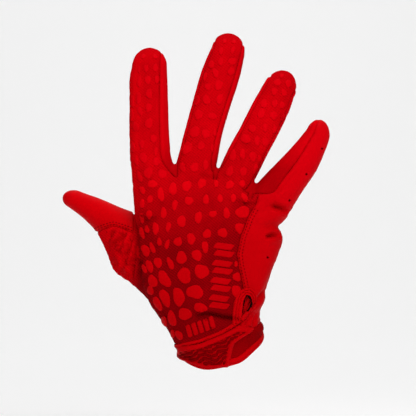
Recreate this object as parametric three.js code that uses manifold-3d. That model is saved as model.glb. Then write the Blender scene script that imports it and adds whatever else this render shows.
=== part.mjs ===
// A right-hand receiver's glove for football, in the form that it has on a hand with the fingers spread.
// Millimetres, +Z towards the fingertips, -Y out of the back of the hand, +X towards the little finger.
// The origin is the centre of the cuff's mouth, where the hand goes in.
// The glove is a hollow skin sewn from flat panels. The hand and each digit is a loft through a table of
// sections, their union is hollowed by the same lofts drawn inwards, and the skin is cut along its seams.
import * as THREE from "three";
import { mergeVertices } from "three/addons/utils/BufferGeometryUtils.js";
import Module from "manifold-3d";

const wasm = await Module();
wasm.setup();

// Thicknesses, heights and gaps
const WALL = 1.6;
const SEAM_GAP = 0.3;
const PRINT_HEIGHT = 0.7;
const PRINT_ROOT = 0.9;
const BINDING_HEIGHT = 1.6;
const STRAP_THICKNESS = 1.5;
const PATCH_THICKNESS = 1.2;
const PATCH_RELIEF = 0.6;
const RELIEF_ROOT = 0.4;
const RIM_RADIUS = 1.7;
const VENT_WIDTH = 2.4;
const HOLE_RADIUS = 0.9;
const HOLE_DEPTH = 4;

// How fine the lofts and outlines are
const DIGIT_SIDES = 10;
const HAND_SIDES = 16;
const SPOT_SIDES = 6;
const RIM_SIDES = 5;
const CURVE_STEPS = 4;
const CAP_ANGLES = [40, 70];
const FOLD_STEPS = 2;
const FOLD_END = 0.08;

// Lengths that only have to reach past the glove
const FAR = 90;
const PAST_TIP = 1.8;
const MOUTH_OVERRUN = 3;
const OVERLAP = 0.01;
const MERGE_DISTANCE = 1e-4;

// The glove's middle surface, seen from the side: it comes forward from the cuff, runs straight over the
// palm, and curls back towards the palm's side along the fingers. The side seams lie just behind it.
const PALM_Y = -12;
const WRIST_TOP_Z = 60;
const KNUCKLE_Z = 95;
const CURL_PER_MM = 0.0019;
const SEAM_BEHIND_MIDDLE = 1;

function middleY(z) {
  if (z < WRIST_TOP_Z) return PALM_Y * (1 - (1 - z / WRIST_TOP_Z) ** 2);
  return PALM_Y + CURL_PER_MM * Math.max(0, z - KNUCKLE_Z) ** 2;
}

const mix = THREE.MathUtils.lerp;

// Turns rows of numbers into objects with the named columns.
function table(columns, rows) {
  const names = columns.split(" ");
  return rows.map((row) => Object.fromEntries(names.map((name, i) => [name, row[i]])));
}

// Sections of the cuff and the hand, from the mouth to the knuckles. Left and right are the two edge points
// seen from the back of the hand, front and back are the depths from the middle surface, and lead is how far
// the front of a section lies below its sides, because the forearm leaves the glove at a slant.
const HAND = table("leftX leftZ rightX rightZ front back lead", [
  [-30.3, -5.6, 29.6, 5.6, 21.4, 21.4, 11.6],
  [-34, 3.4, 29.6, 14.2, 19.9, 20.3, 9.2],
  [-38.8, 15, 27.3, 22, 19, 20, 7],
  [-42.9, 22.5, 27.3, 28, 18.8, 20, 5],
  [-49.4, 32.2, 31.2, 37, 19.6, 20, 2],
  [-53.9, 45.5, 34, 45, 18, 19, 0],
  [-56.7, 63, 39.6, 63, 16.2, 18, 0],
  [-58.3, 79, 43.6, 77, 15.5, 17, 0],
  [-59.4, 94, 40, 86.5, 14.6, 15.5, 0],
  [-60.4, 110.6, 34, 104, 12.8, 13.2, 0],
  [-59.6, 119, 26, 112, 10.8, 11, 0],
]);
const HAND_TIP = { x: -16, z: 127.5 };

// Sections of the fingers, from inside the hand to where the rounded tip starts.
const FINGER_COLUMNS = "leftX leftZ rightX rightZ depth";
const INDEX = table(FINGER_COLUMNS, [
  [-59.4, 92, -33, 92, 13],
  [-60.8, 110, -32.6, 110, 11.4],
  [-61.8, 123, -32, 123, 10.4],
  [-63.2, 138, -34.8, 138, 10],
  [-63.7, 188, -37, 188, 9.2],
  [-62, 198, -37.4, 198, 8.8],
]);
const INDEX_TIP = { x: -49.6, z: 211.5 };

const MIDDLE = table(FINGER_COLUMNS, [
  [-37, 95, -10, 90, 13],
  [-32.8, 113.7, -7.6, 107, 11.2],
  [-30.3, 129, -3.6, 122.4, 10.2],
  [-24.3, 153.8, 1.1, 147.1, 9.8],
  [-9.1, 205, 15.9, 198.2, 9.2],
  [-5.6, 212.4, 17.4, 206, 8.8],
]);
const MIDDLE_TIP = { x: 8.9, z: 221.6 };

const RING = table(FINGER_COLUMNS, [
  [-14, 100, 12, 88, 12.5],
  [-3.9, 117.5, 18.6, 106.2, 10.8],
  [2.9, 133.2, 26.2, 121.2, 10],
  [13.8, 154, 36.7, 142, 9.6],
  [25.9, 176.9, 48.3, 165.4, 9.2],
  [31.3, 186.2, 51.8, 176, 8.8],
]);
const RING_TIP = { x: 48.6, z: 194.2 };

const LITTLE = table(FINGER_COLUMNS, [
  [8, 97, 33, 76, 12],
  [21.5, 110.4, 46.4, 91.4, 10.4],
  [33, 122.8, 55, 105.6, 9.8],
  [48.5, 138.6, 67.2, 123.6, 9],
  [61, 153.4, 75.6, 142.6, 7.8],
]);
const LITTLE_TIP = { x: 73.2, z: 158.6 };

// The thumb leaves the hand towards the palm's side, so its middle has a column of its own.
const THUMB = table("leftX leftZ rightX rightZ depth y", [
  [-48.6, 32, -24, 66, 14, -6],
  [-60.2, 43.4, -44.8, 85.4, 14, -1],
  [-74.6, 54.8, -55.3, 91.7, 12.6, 4],
  [-80, 67, -63, 95.6, 11.6, 8],
  [-86.6, 80, -73.5, 99.8, 10.4, 12],
  [-95.9, 90, -86.1, 105.2, 9, 15],
  [-107, 98.4, -98, 109.4, 7.6, 17.5],
]);
const THUMB_TIP = { x: -110.6, z: 108, y: 19 };

// How square a section is: 2 is an ellipse, and more is squarer.
const DIGIT_POWER = 2.15;
const HAND_POWER = 2.35;

const loft = (rows, tip, power, sides) => ({ rows, tip, power, sides });
const HAND_LOFT = loft(HAND, HAND_TIP, HAND_POWER, HAND_SIDES);
const THUMB_LOFT = loft(THUMB, THUMB_TIP, DIGIT_POWER, DIGIT_SIDES);
const FINGERS = {
  index: loft(INDEX, INDEX_TIP, DIGIT_POWER, DIGIT_SIDES),
  middle: loft(MIDDLE, MIDDLE_TIP, DIGIT_POWER, DIGIT_SIDES),
  ring: loft(RING, RING_TIP, DIGIT_POWER, DIGIT_SIDES),
  little: loft(LITTLE, LITTLE_TIP, DIGIT_POWER, DIGIT_SIDES),
};

// Folds in the worn skin: each is a crease pressed into the back, from one end to the other.
const FOLDS = table("fromX fromZ toX toZ width depth", [
  [-25, 31, 6, 25.5, 5, 4],
  [-4, 26.5, 15, 21.5, 4.5, 4],
  [34, 99.5, 46.5, 95.8, 5, 3.5],
  [27, 80, 41.6, 77.6, 6, 3],
  [24.5, 31, 30.4, 39, 4, 1.6],
  [-73, 84, -78.5, 72.5, 3.5, 2.4],
  [-66, 82, -73, 68, 3.5, 2.6],
  [-58, 66, -64, 49.5, 4, 2.8],
]);

// The seam between the hand's panels and the cuff, from the thumb's side up to the little finger's.
const CUFF_SEAM = [[-70, -6], [-36, 0.8], [-27.3, 2.4], [-14, 5.4], [0.7, 11.4], [11.4, 17.7], [16.8, 22.5],
  [21, 26.6], [25.2, 31.5], [34, 41], [70, 75]];
// The seam between the printed back and the smooth side, from the web by the little finger to the cuff.
const SIDE_SEAM = [[60, 180], [50, 154], [27.6, 114.8], [25.6, 103], [23.8, 98.9], [19.9, 92.1], [14.5, 78.4],
  [11.8, 65.6], [13, 57.8], [16, 44], [17.2, 36], [15.6, 28], [13.4, 16], [13.4, -30]];
// The hem of the smooth thumb piece, from its outer side to the hand.
const THUMB_SEAM = [[-130, 66], [-92, 78.6], [-86.1, 81.2], [-81.9, 83.3], [-74.9, 85.4], [-67.2, 83],
  [-61, 80.5], [-60.6, 94], [-61.2, 130]];
// Where the thumb's front starts as a region of its own, and how far it reaches across the thumb.
const THUMB_FRONT_START_Z = 49;
const THUMB_FRONT_ACROSS = [-1.4, 1.08];
// The hand's front region: the heights at which its edge is set, and its side next to the thumb.
const FRONT_HEIGHTS = [-60, -10, 15, 35, WRIST_TOP_Z, KNUCKLE_Z, 125, 150, 175, 200, 240];
const FRONT_START_X = -75;
// How far in front of a section a cutter reaches, in the section's own depths.
const BEFORE_SECTION = -1.6;
// How fast the cuff's seam climbs towards the back of the wrist's far side.
const CUFF_CLIMB = 0.5;

// Strips between the fingers. front is where a strip starts on the finger's back, from 0 at its middle to 1
// at its edge, given for the strip's foot in the web and for the fingertip.
const STRIPS = table("name finger side startZ front frontAtTip", [
  ["fourchette_index_middle", "index", 1, 120, 0.48, 0.66],
  ["fourchette_index_middle", "middle", -1, 118, 0.86, 0.9],
  ["fourchette_middle_ring", "middle", 1, 120, 0.72, 0.8],
  ["fourchette_middle_ring", "ring", -1, 114, 0.6, 0.74],
  ["fourchette_ring_little", "ring", 1, 112, 0.84, 0.9],
  ["fourchette_ring_little", "little", -1, 97, 0.06, 0.46],
]);
// A strip's other edge, on the finger's side towards the palm, and how far its cutter reaches outwards.
const STRIP_BACK = 0.5;
const STRIP_OUTSIDE = 1.5;
const STRIP_INSIDE = 0.9;
const STRIP_HOLLOW = 0.6;

// Printed grip spots on the hand: each row is a line of spots whose size runs from its first to its last.
// lean turns a spot's top towards the thumb, in degrees.
const SPOT_ROWS = table("fromX fromZ toX toZ count width height lastWidth lastHeight lean", [
  [-33.1, 111.7, 15.3, 114.8, 6, 6, 9, 4.6, 6.5, 0],
  [-47, 114.8, -47, 114.8, 1, 7, 6, 7, 6, 0],
  [-54.1, 110.8, -41.4, 107.1, 3, 4, 6, 5, 10, 10],
  [-31.5, 100.1, 16.9, 105.3, 6, 5.6, 8.5, 4.6, 7, 5],
  [-54.1, 100.8, -39.2, 94.6, 3, 3.8, 7, 4.4, 9.5, 8],
  [-26.7, 88.9, 15.7, 95.1, 5, 6.4, 8.4, 8, 9, 5],
  [-54.6, 90.6, -36, 84.6, 4, 3.8, 7.2, 4.4, 9, 8],
  [-20.2, 76.5, 14.1, 83.9, 4, 6.4, 8.2, 8, 8, 5],
  [-54.3, 80.6, -29.4, 74.5, 4, 3.2, 8, 5.4, 7.4, 15],
  [-10.5, 70.8, -10.5, 70.8, 1, 5.4, 8, 5.4, 8, 10],
  [-57.3, 66.8, -47, 70.2, 3, 4.2, 9.2, 4.2, 8.6, 24],
  [-34.7, 59.2, -16.5, 65.2, 3, 4.6, 8.6, 7.2, 8.6, 24],
  [-54.1, 55.7, -43, 60.1, 3, 4.8, 8, 5.8, 9, 24],
  [-38.6, 48.9, -13, 54.1, 3, 8, 12.4, 10, 11, 26],
  [-47, 46.9, -47, 46.9, 1, 7, 8.4, 7, 8.4, 20],
  [-48.6, 40, -48.6, 40, 1, 4.2, 6.5, 4.2, 6.5, 26],
  [-38.2, 35, -17.6, 39.6, 3, 6.4, 12.4, 11, 10, 16],
  [-43.4, 31, -43.4, 31, 1, 4.2, 9.5, 4.2, 9.5, 26],
  [-33.5, 21.9, -13.7, 29.4, 3, 5.6, 10.4, 9.4, 6.5, 12],
  [-38.6, 18.4, -38.6, 18.4, 1, 3.4, 7, 3.4, 7, 18],
  [-34.5, 8.4, -29.7, 8.6, 2, 3.4, 5.5, 4.4, 6.5, 20],
  [10.2, 60, 11.6, 42, 3, 3.4, 4, 5.4, 7.6, 0],
  [-72.5, 77.4, -58, 68.6, 3, 4, 6.6, 4.2, 6.6, 0],
  [-77.5, 71.4, -60, 60.3, 3, 4.4, 6.2, 4.4, 5.4, -8],
  [-68.7, 53.4, -63.5, 47.7, 2, 4.2, 6, 4.2, 6, 0],
]);
// How far a spot's outline strays from an oval, and the steepest skin that a spot is printed on.
const SPOT_SKEW = 0.1;
const SPOT_ROUGHNESS = 0.06;
const STEEPEST_PRINT = 1.25;
// Plain raised pads in a line, for grip: turn is their slope in degrees.
const PAD_ROWS = table("fromX fromZ toX toZ count width height turn", [
  [2.2, 69.5, 0.6, 32, 5, 14, 7, -9],
  [-21, 13.6, -6, 19.6, 3, 6.4, 9, 24],
]);
// Small air holes through the smooth side.
const AIR_HOLES = table("x z", [[71.6, 139.4], [60.4, 121.5], [48.6, 103.2], [33.2, 63.4]]);

// The vent over the wrist, its binding, the strap and the patch on it, seen from the back of the hand.
const VENT = [[14.9, 21.4], [14.6, 25], [15.4, 30], [16.2, 34.8], [17.9, 37.5], [20, 36.4], [21.6, 32.6],
  [20.5, 30], [18.4, 26.7]];
const VENT_BINDING = [[8.6, 18], [8.6, 24], [9.3, 31.6], [11.6, 38.4], [16.2, 42.3], [21, 43], [24.6, 40],
  [24.6, 34.3], [22.6, 29.5], [18, 22.4], [14, 17]];
const VENT_SLIT = [[14.9, 24], [13, 15], [6, 6], [1, -4], [-1, -30]];
const STRAP = [[-31.4, 1], [-14.4, 3.6], [0.2, 9.4], [10.4, 14.6], [13.2, 17], [17, 17.2], [24.4, 13.4],
  [10, 3.8], [8.8, -0.6], [6.2, -13.2], [-9.9, -13.2], [-31.4, -8.6]];
const PATCH = [[-28.6, 0], [-14, 2.4], [-3.5, 6.6], [11.9, 14], [16.8, 14], [21.8, 12.2], [9, 4.2], [7.4, 0],
  [5, -12.8], [-9.9, -13.3], [-31, -7]];
const PATCH_CENTRE = [-8, -1.5];
const PATCH_BORDER_INNER = 0.86;
// Waves pressed into the patch, each a ridge from left to right.
const PATCH_WAVES = table("fromX fromZ toX toZ swing", [
  [-24, -1.4, 6, 8.6, 1.1],
  [-25, -4.8, 4.4, 2.4, 1.2],
  [-23, -8, 2.6, -3.4, 1.2],
]);
const WAVE_WIDTH = 1.3;
const WAVE_STEPS = 4;
const PIPING_WIDTH = 2.2;

// A section's frame: its centre, its unit direction across, half its width, and its two depths.
function sectionFrame(row, outset) {
  const left = new THREE.Vector2(row.leftX, row.leftZ);
  const across = new THREE.Vector2(row.rightX, row.rightZ).sub(left);
  const centre = left.addScaledVector(across, 0.5);
  return {
    x: centre.x,
    z: centre.y,
    y: row.y ?? middleY(centre.y),
    half: across.length() / 2 + outset,
    front: (row.front ?? row.depth) + outset,
    back: (row.back ?? row.depth) + outset,
    lead: row.lead ?? 0,
    across: across.normalize(),
  };
}

// A point of a section: u runs across from -1 to 1, and v from -1 at the front to 1 at the back.
function sectionPoint(frame, u, v) {
  const depth = v < 0 ? frame.front : frame.back;
  return new THREE.Vector3(
    frame.x + frame.across.x * frame.half * u,
    frame.y + depth * v,
    frame.z + frame.across.y * frame.half * u + frame.lead * v,
  );
}

const signedPower = (value, power) => Math.sign(value) * Math.abs(value) ** power;

function ovalRing(frame, power, sides) {
  return Array.from({ length: sides }, (_, i) => {
    const angle = (2 * Math.PI * i) / sides;
    const u = signedPower(Math.cos(angle), 2 / power);
    const v = signedPower(Math.sin(angle), 2 / power);
    return sectionPoint(frame, u, v);
  });
}

// The frames of a loft's rounded tip: the last section carried towards the tip and drawn in like an ellipse.
function tipFrames(body, outset) {
  const last = sectionFrame(body.rows.at(-1), outset);
  const tip = { y: middleY(body.tip.z), ...body.tip };
  const reach = Math.hypot(tip.x - last.x, tip.z - last.z);
  return CAP_ANGLES.map((degrees) => {
    const angle = THREE.MathUtils.degToRad(degrees);
    const share = Math.sin(angle) * (1 + outset / reach);
    const size = Math.cos(angle);
    return {
      ...last,
      x: last.x + (tip.x - last.x) * share,
      y: last.y + (tip.y - last.y) * share,
      z: last.z + (tip.z - last.z) * share,
      half: last.half * size,
      front: last.front * size,
      back: last.back * size,
    };
  });
}

// A three.js geometry as a solid that can be joined and cut.
function solidOf(geometry) {
  geometry.deleteAttribute("normal");
  geometry.deleteAttribute("uv");
  const merged = mergeVertices(geometry, MERGE_DISTANCE);
  return new wasm.Manifold(
    new wasm.Mesh({
      numProp: 3,
      vertProperties: merged.attributes.position.array,
      triVerts: new Uint32Array(merged.index.array),
    }),
  );
}

// Joins rings of equal length into one body. It is closed by a fan over each end, or into a loop.
function skin(rings, isLoop = false) {
  const sides = rings[0].length;
  const points = rings.flat();
  const indices = [];
  for (let r = 0; r < rings.length - (isLoop ? 0 : 1); r++) {
    const above = ((r + 1) % rings.length) * sides;
    for (let i = 0; i < sides; i++) {
      const next = (i + 1) % sides;
      const [a, b] = [r * sides + i, r * sides + next];
      indices.push(a, b, above + i, b, above + next, above + i);
    }
  }
  for (const [start, isFoot] of isLoop ? [] : [[0, true], [(rings.length - 1) * sides, false]]) {
    const ring = points.slice(start, start + sides);
    const hub = points.push(ring.reduce((sum, p) => sum.add(p), new THREE.Vector3()).divideScalar(sides)) - 1;
    for (let i = 0; i < sides; i++) {
      const [a, b] = [start + i, start + ((i + 1) % sides)];
      indices.push(...(isFoot ? [b, a, hub] : [a, b, hub]));
    }
  }
  const geometry = new THREE.BufferGeometry().setFromPoints(points);
  geometry.setIndex(indices);
  return solidOf(geometry);
}

const union = (solids) => solids.reduce((sum, solid) => sum.add(solid));

// The largest piece of a solid: what a cut leaves beside it is offcuts.
const largest = (solid) => solid.decompose().reduce((a, b) => (b.volume() > a.volume() ? b : a));

// The solid of a loft, moved outwards by outset. With overrun it also reaches past its first section.
function loftSolid(body, outset, overrun = 0) {
  const [first] = body.rows;
  const foot = { ...first, leftZ: first.leftZ - overrun, rightZ: first.rightZ - overrun };
  const rows = overrun ? [foot, ...body.rows] : body.rows;
  const frames = [...rows.map((row) => sectionFrame(row, outset)), ...tipFrames(body, outset)];
  return skin(frames.map((frame) => ovalRing(frame, body.power, body.sides)));
}

function gloveSolid(outset, overrun) {
  const digits = [...Object.values(FINGERS), THUMB_LOFT].map((body) => loftSolid(body, outset));
  return union([loftSolid(HAND_LOFT, outset, overrun), ...digits]);
}

const shapeOf = (points) => new THREE.Shape(points.map(([x, z]) => new THREE.Vector2(x, z)));

// A shape drawn as seen from the back of the hand, made a prism from the front back to the depth backY.
function frontPrism(shape, backY = FAR) {
  const options = { depth: backY + FAR, bevelEnabled: false, curveSegments: CURVE_STEPS };
  const geometry = new THREE.ExtrudeGeometry(shape, options);
  geometry.rotateX(Math.PI / 2);
  geometry.translate(0, backY, 0);
  return solidOf(geometry);
}

// A prism like frontPrism's, of a flat strip with a width along a line of points.
function ribbonPrism(points, width, backY) {
  const line = points.map(([x, z]) => new THREE.Vector2(x, z));
  return skin(line.map((point, i) => {
    const before = line[Math.max(0, i - 1)];
    const along = line[Math.min(line.length - 1, i + 1)].clone().sub(before).normalize();
    const side = new THREE.Vector2(along.y, -along.x).multiplyScalar(width / 2);
    const corner = (sign, y) => new THREE.Vector3(point.x + side.x * sign, y, point.y + side.y * sign);
    return [corner(-1, -FAR), corner(1, -FAR), corner(1, backY), corner(-1, backY)];
  }));
}

// Everything in front of the side seams of the hand and fingers, and of the thumb.
function frontRegion(grow) {
  const edge = FRONT_HEIGHTS.map((z) => [middleY(z) + SEAM_BEHIND_MIDDLE + grow, z]);
  const profile = shapeOf([[-FAR, FRONT_HEIGHTS[0]], ...edge, [-FAR, FRONT_HEIGHTS.at(-1)]]);
  const geometry = new THREE.ExtrudeGeometry(profile, { depth: 2 * FAR, bevelEnabled: false });
  geometry.applyMatrix4(new THREE.Matrix4().makeBasis(
    new THREE.Vector3(0, 1, 0),
    new THREE.Vector3(0, 0, 1),
    new THREE.Vector3(1, 0, 0),
  ));
  geometry.translate(FRONT_START_X, 0, 0);
  const thumb = bandSolid(THUMB_LOFT, THUMB_FRONT_START_Z - grow, (_, frame) => {
    const rear = (SEAM_BEHIND_MIDDLE + grow) / frame.back;
    const [left, right] = THUMB_FRONT_ACROSS;
    return [[left, BEFORE_SECTION], [right, BEFORE_SECTION], [right, rear], [left, rear]];
  });
  return solidOf(geometry).add(thumb);
}

// Everything below the cuff's seam. Behind the middle the seam climbs with the slant of the mouth.
function cuffRegion(grow) {
  const shape = shapeOf([...CUFF_SEAM.map(([x, z]) => [x - grow, z + grow]), [70, -60], [-70, -60]]);
  const geometry = new THREE.ExtrudeGeometry(shape, { depth: FAR, bevelEnabled: false });
  geometry.rotateX(Math.PI / 2);
  geometry.translate(0, FAR - OVERLAP, 0);
  geometry.applyMatrix4(new THREE.Matrix4().makeShear(0, 0, 0, CUFF_CLIMB, 0, 0));
  return frontPrism(shape, 0).add(solidOf(geometry));
}

const sideRegion = (grow) =>
  frontPrism(shapeOf([...SIDE_SEAM.map(([x, z]) => [x - grow, z]), [FAR, -30], [FAR, 180]]));
const thumbRegion = (grow) =>
  frontPrism(shapeOf([...THUMB_SEAM.map(([x, z]) => [x + grow, z - grow]), [-130, 130]]));

const centreZ = (row) => (row.leftZ + row.rightZ) / 2;

// The row of a body at a height of its centre, between the rows that are given.
function rowAt(rows, z) {
  const next = Math.max(1, rows.findIndex((row, i) => centreZ(row) >= z || i === rows.length - 1));
  const [below, above] = [rows[next - 1], rows[next]];
  const share = (z - centreZ(below)) / (centreZ(above) - centreZ(below));
  const columns = Object.keys(below).map((name) => [name, below[name] + (above[name] - below[name]) * share]);
  return Object.fromEntries(columns);
}

// A cutter that follows a body from the height startZ past its tip. corners gives its section in u and v,
// for a share from 0 at the start to 1 at the end, and for the frame that it is drawn in.
function bandSolid(body, startZ, corners) {
  const rows = [rowAt(body.rows, startZ), ...body.rows.filter((row) => centreZ(row) > startZ + 1)];
  const frames = rows.map((row) => sectionFrame(row, 0));
  const last = frames.at(-1);
  const tip = { y: middleY(body.tip.z), ...body.tip };
  const past = (name) => last[name] + (tip[name] - last[name]) * PAST_TIP;
  frames.push({ ...last, x: past("x"), y: past("y"), z: past("z") });
  return skin(frames.map((frame, i) => {
    const section = corners(i / (frames.length - 1), frame);
    return section.map(([u, v]) => sectionPoint(frame, u, v));
  }));
}

function stripRegion({ finger, side, startZ, front, frontAtTip }, grow) {
  return bandSolid(FINGERS[finger], startZ - grow, (share, frame) => {
    const edge = front + (frontAtTip - front) * share - grow / frame.half;
    const rear = STRIP_BACK + grow / frame.back;
    const outer = [[edge, BEFORE_SECTION], [STRIP_OUTSIDE, BEFORE_SECTION], [STRIP_OUTSIDE, rear]];
    const section = [...outer, [STRIP_INSIDE, rear], [edge * STRIP_HOLLOW, 0]];
    const placed = section.map(([u, v]) => [u * side, v]);
    return side > 0 ? placed : placed.reverse();
  });
}

const stripsRegion = (strips, grow) => union(strips.map((strip) => stripRegion(strip, grow)));

const meshOf = (name, solid, material) => {
  const { vertProperties, triVerts } = solid.getMesh();
  const geometry = new THREE.BufferGeometry();
  geometry.setAttribute("position", new THREE.BufferAttribute(vertProperties, 3));
  geometry.setIndex(new THREE.BufferAttribute(triVerts, 1));
  geometry.computeVertexNormals();
  const mesh = new THREE.Mesh(geometry, material);
  mesh.name = name;
  return mesh;
};

const smoothOutside = gloveSolid(0);
const probe = meshOf("probe", smoothOutside, new THREE.MeshStandardMaterial());
const backwards = new THREE.Vector3(0, 1, 0);

// Where the skin's front lies behind a point seen from the back of the hand, and how it slopes there.
function surfaceAt(x, z) {
  const [hit] = new THREE.Raycaster(new THREE.Vector3(x, -FAR, z), backwards).intersectObject(probe);
  const { normal } = hit.face;
  return { y: hit.point.y, slopeX: -normal.x / normal.y, slopeZ: -normal.z / normal.y };
}

// The wedge that a fold presses out of the skin, grown by outset for the skin's inner side.
function foldWedge({ fromX, fromZ, toX, toZ, width, depth }, outset) {
  const along = new THREE.Vector2(toX - fromX, toZ - fromZ).normalize();
  const rings = Array.from({ length: FOLD_STEPS + 1 }, (_, i) => {
    const share = i / FOLD_STEPS;
    const swell = mix(FOLD_END, 1, Math.sin(Math.PI * share));
    const [x, z] = [fromX + (toX - fromX) * share, fromZ + (toZ - fromZ) * share];
    const surface = surfaceAt(x, z).y;
    const half = width * swell + outset;
    const side = [-along.y * half, along.x * half];
    return [
      new THREE.Vector3(x - side[0], surface - depth * swell - outset, z - side[1]),
      new THREE.Vector3(x, surface + depth * swell + outset, z),
      new THREE.Vector3(x + side[0], surface - depth * swell - outset, z + side[1]),
    ];
  });
  return skin(rings);
}

const foldWedges = (outset) => union(FOLDS.map((fold) => foldWedge(fold, outset)));

// A raised piece of print: the outline seen from the back of the hand, from inside the skin to a flat top
// that lies along the skin. The outline's points run anticlockwise.
function printSolid(outline, x, z) {
  const { y, slopeX, slopeZ } = surfaceAt(x, z);
  const rings = [PRINT_ROOT, -PRINT_HEIGHT].map((lift) =>
    outline.map((p) => new THREE.Vector3(p.x, y + slopeX * (p.x - x) + slopeZ * (p.y - z) + lift, p.y)));
  return skin(rings);
}

// A pebble-like spot, turned so that its top leans towards the thumb.
function spotSolid(x, z, width, height, lean, seed) {
  const turn = THREE.MathUtils.degToRad(lean);
  const outline = Array.from({ length: SPOT_SIDES }, (_, i) => {
    const angle = (2 * Math.PI * (i + 0.5)) / SPOT_SIDES;
    const bump = 1 + SPOT_SKEW * Math.sin(2 * angle + seed) + SPOT_ROUGHNESS * Math.cos(3 * angle + seed);
    return new THREE.Vector2((width / 2) * bump * Math.cos(angle), (height / 2) * bump * Math.sin(angle))
      .rotateAround(new THREE.Vector2(), turn)
      .add(new THREE.Vector2(x, z));
  });
  return printSolid(outline, x, z);
}

// Calls place(x, z, share, number) for each item of a row.
function alongRow(row, place) {
  return Array.from({ length: row.count }, (_, i) => {
    const share = row.count > 1 ? i / (row.count - 1) : 0;
    return place(mix(row.fromX, row.toX, share), mix(row.fromZ, row.toZ, share), share, i);
  });
}

function handSpots() {
  return SPOT_ROWS.flatMap((row, r) => alongRow(row, (x, z, share, i) => {
    const { slopeX, slopeZ } = surfaceAt(x, z);
    if (Math.hypot(slopeX, slopeZ) > STEEPEST_PRINT) return [];
    const width = mix(row.width, row.lastWidth, share);
    const height = mix(row.height, row.lastHeight, share);
    return spotSolid(x, z, width, height, row.lean, 5 * r + i);
  }).flat());
}

function pads(row) {
  const turn = THREE.MathUtils.degToRad(row.turn);
  return alongRow(row, (x, z) => {
    const [w, h] = [row.width / 2, row.height / 2];
    const outline = [[-w, -h], [w, -h], [w, h], [-w, h]].map(([a, b]) =>
      new THREE.Vector2(a, b).rotateAround(new THREE.Vector2(), turn).add(new THREE.Vector2(x, z)));
    return printSolid(outline, x, z);
  });
}

// A flat piece laid over the wrist: what a prism holds between two heights above the skin.
function raisedPiece(prism, low, high) {
  const top = loftSolid(HAND_LOFT, high, MOUTH_OVERRUN);
  return prism.intersect(top.subtract(loftSolid(HAND_LOFT, low, MOUTH_OVERRUN + 1)));
}

// The rolled rim round the mouth.
function rimSolid(grow) {
  const ring = ovalRing(sectionFrame(HAND[0], -WALL / 2), HAND_POWER, HAND_SIDES);
  const centre = ring.reduce((sum, p) => sum.clone().add(p), new THREE.Vector3()).divideScalar(ring.length);
  const rings = ring.map((point, i) => {
    const along = ring[(i + 1) % ring.length].clone().sub(ring.at(i - 1)).normalize();
    const outwards = point.clone().sub(centre);
    outwards.addScaledVector(along, -outwards.dot(along)).normalize();
    const up = new THREE.Vector3().crossVectors(along, outwards);
    return Array.from({ length: RIM_SIDES }, (_, k) => {
      const angle = (2 * Math.PI * k) / RIM_SIDES;
      return point.clone()
        .addScaledVector(outwards, Math.cos(angle) * (RIM_RADIUS + grow))
        .addScaledVector(up, Math.sin(angle) * (RIM_RADIUS + grow));
    });
  });
  return skin(rings, true);
}

const scaledAbout = (points, centre, share) =>
  points.map(([x, z]) => [centre[0] + (x - centre[0]) * share, centre[1] + (z - centre[1]) * share]);

const outside = smoothOutside.subtract(foldWedges(0));
const inside = gloveSolid(-WALL, MOUTH_OVERRUN).subtract(foldWedges(WALL));
const glove = outside.subtract(inside);

const slit = ribbonPrism(VENT_SLIT, VENT_WIDTH, middleY(0));
const vent = frontPrism(shapeOf(VENT), middleY(30));
const rimRoom = rimSolid(SEAM_GAP);
const hand = glove.subtract(cuffRegion(SEAM_GAP)).subtract(vent).subtract(slit);
const notStrips = (solid) => solid.subtract(stripsRegion(STRIPS, SEAM_GAP));
const onBack = (solid) => notStrips(solid.subtract(cuffRegion(SEAM_GAP)).intersect(frontRegion(0)))
  .subtract(thumbRegion(SEAM_GAP))
  .subtract(sideRegion(SEAM_GAP));

const materials = {
  stretchFabric: new THREE.MeshStandardMaterial({ color: 0xa30005, roughness: 0.85, metalness: 0 }),
  smoothFabric: new THREE.MeshStandardMaterial({ color: 0xb40008, roughness: 0.6, metalness: 0 }),
  gripSkin: new THREE.MeshStandardMaterial({ color: 0xc00008, roughness: 0.45, metalness: 0 }),
  elastic: new THREE.MeshStandardMaterial({ color: 0xa80008, roughness: 0.7, metalness: 0 }),
  binding: new THREE.MeshStandardMaterial({ color: 0xb80008, roughness: 0.65, metalness: 0 }),
  moulding: new THREE.MeshStandardMaterial({ color: 0xb00008, roughness: 0.4, metalness: 0 }),
};

const group = new THREE.Group();
const add = (name, solid, material) => group.add(meshOf(name, largest(solid), material));

// Panels of the hand
function addPanels() {
  const back = onBack(hand.add(union([...handSpots(), ...PAD_ROWS.flatMap(pads)])));
  add("back_panel", back, materials.stretchFabric);
  const holes = AIR_HOLES.map(({ x, z }) => {
    const circle = new THREE.Shape().absarc(x, z, HOLE_RADIUS, 0, 2 * Math.PI);
    return frontPrism(circle, surfaceAt(x, z).y + HOLE_DEPTH);
  });
  const side = notStrips(hand.intersect(frontRegion(0)).intersect(sideRegion(0))).subtract(union(holes));
  add("side_panel", side, materials.smoothFabric);
  const palm = notStrips(hand.subtract(frontRegion(SEAM_GAP)).subtract(thumbRegion(SEAM_GAP)));
  add("palm_panel", palm, materials.gripSkin);
  add("thumb_sleeve", hand.intersect(thumbRegion(0)), materials.gripSkin);
}

function addStrips() {
  for (const name of new Set(STRIPS.map((strip) => strip.name))) {
    const strips = STRIPS.filter((strip) => strip.name === name);
    add(name, hand.intersect(stripsRegion(strips, 0)), materials.smoothFabric);
  }
}

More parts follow.
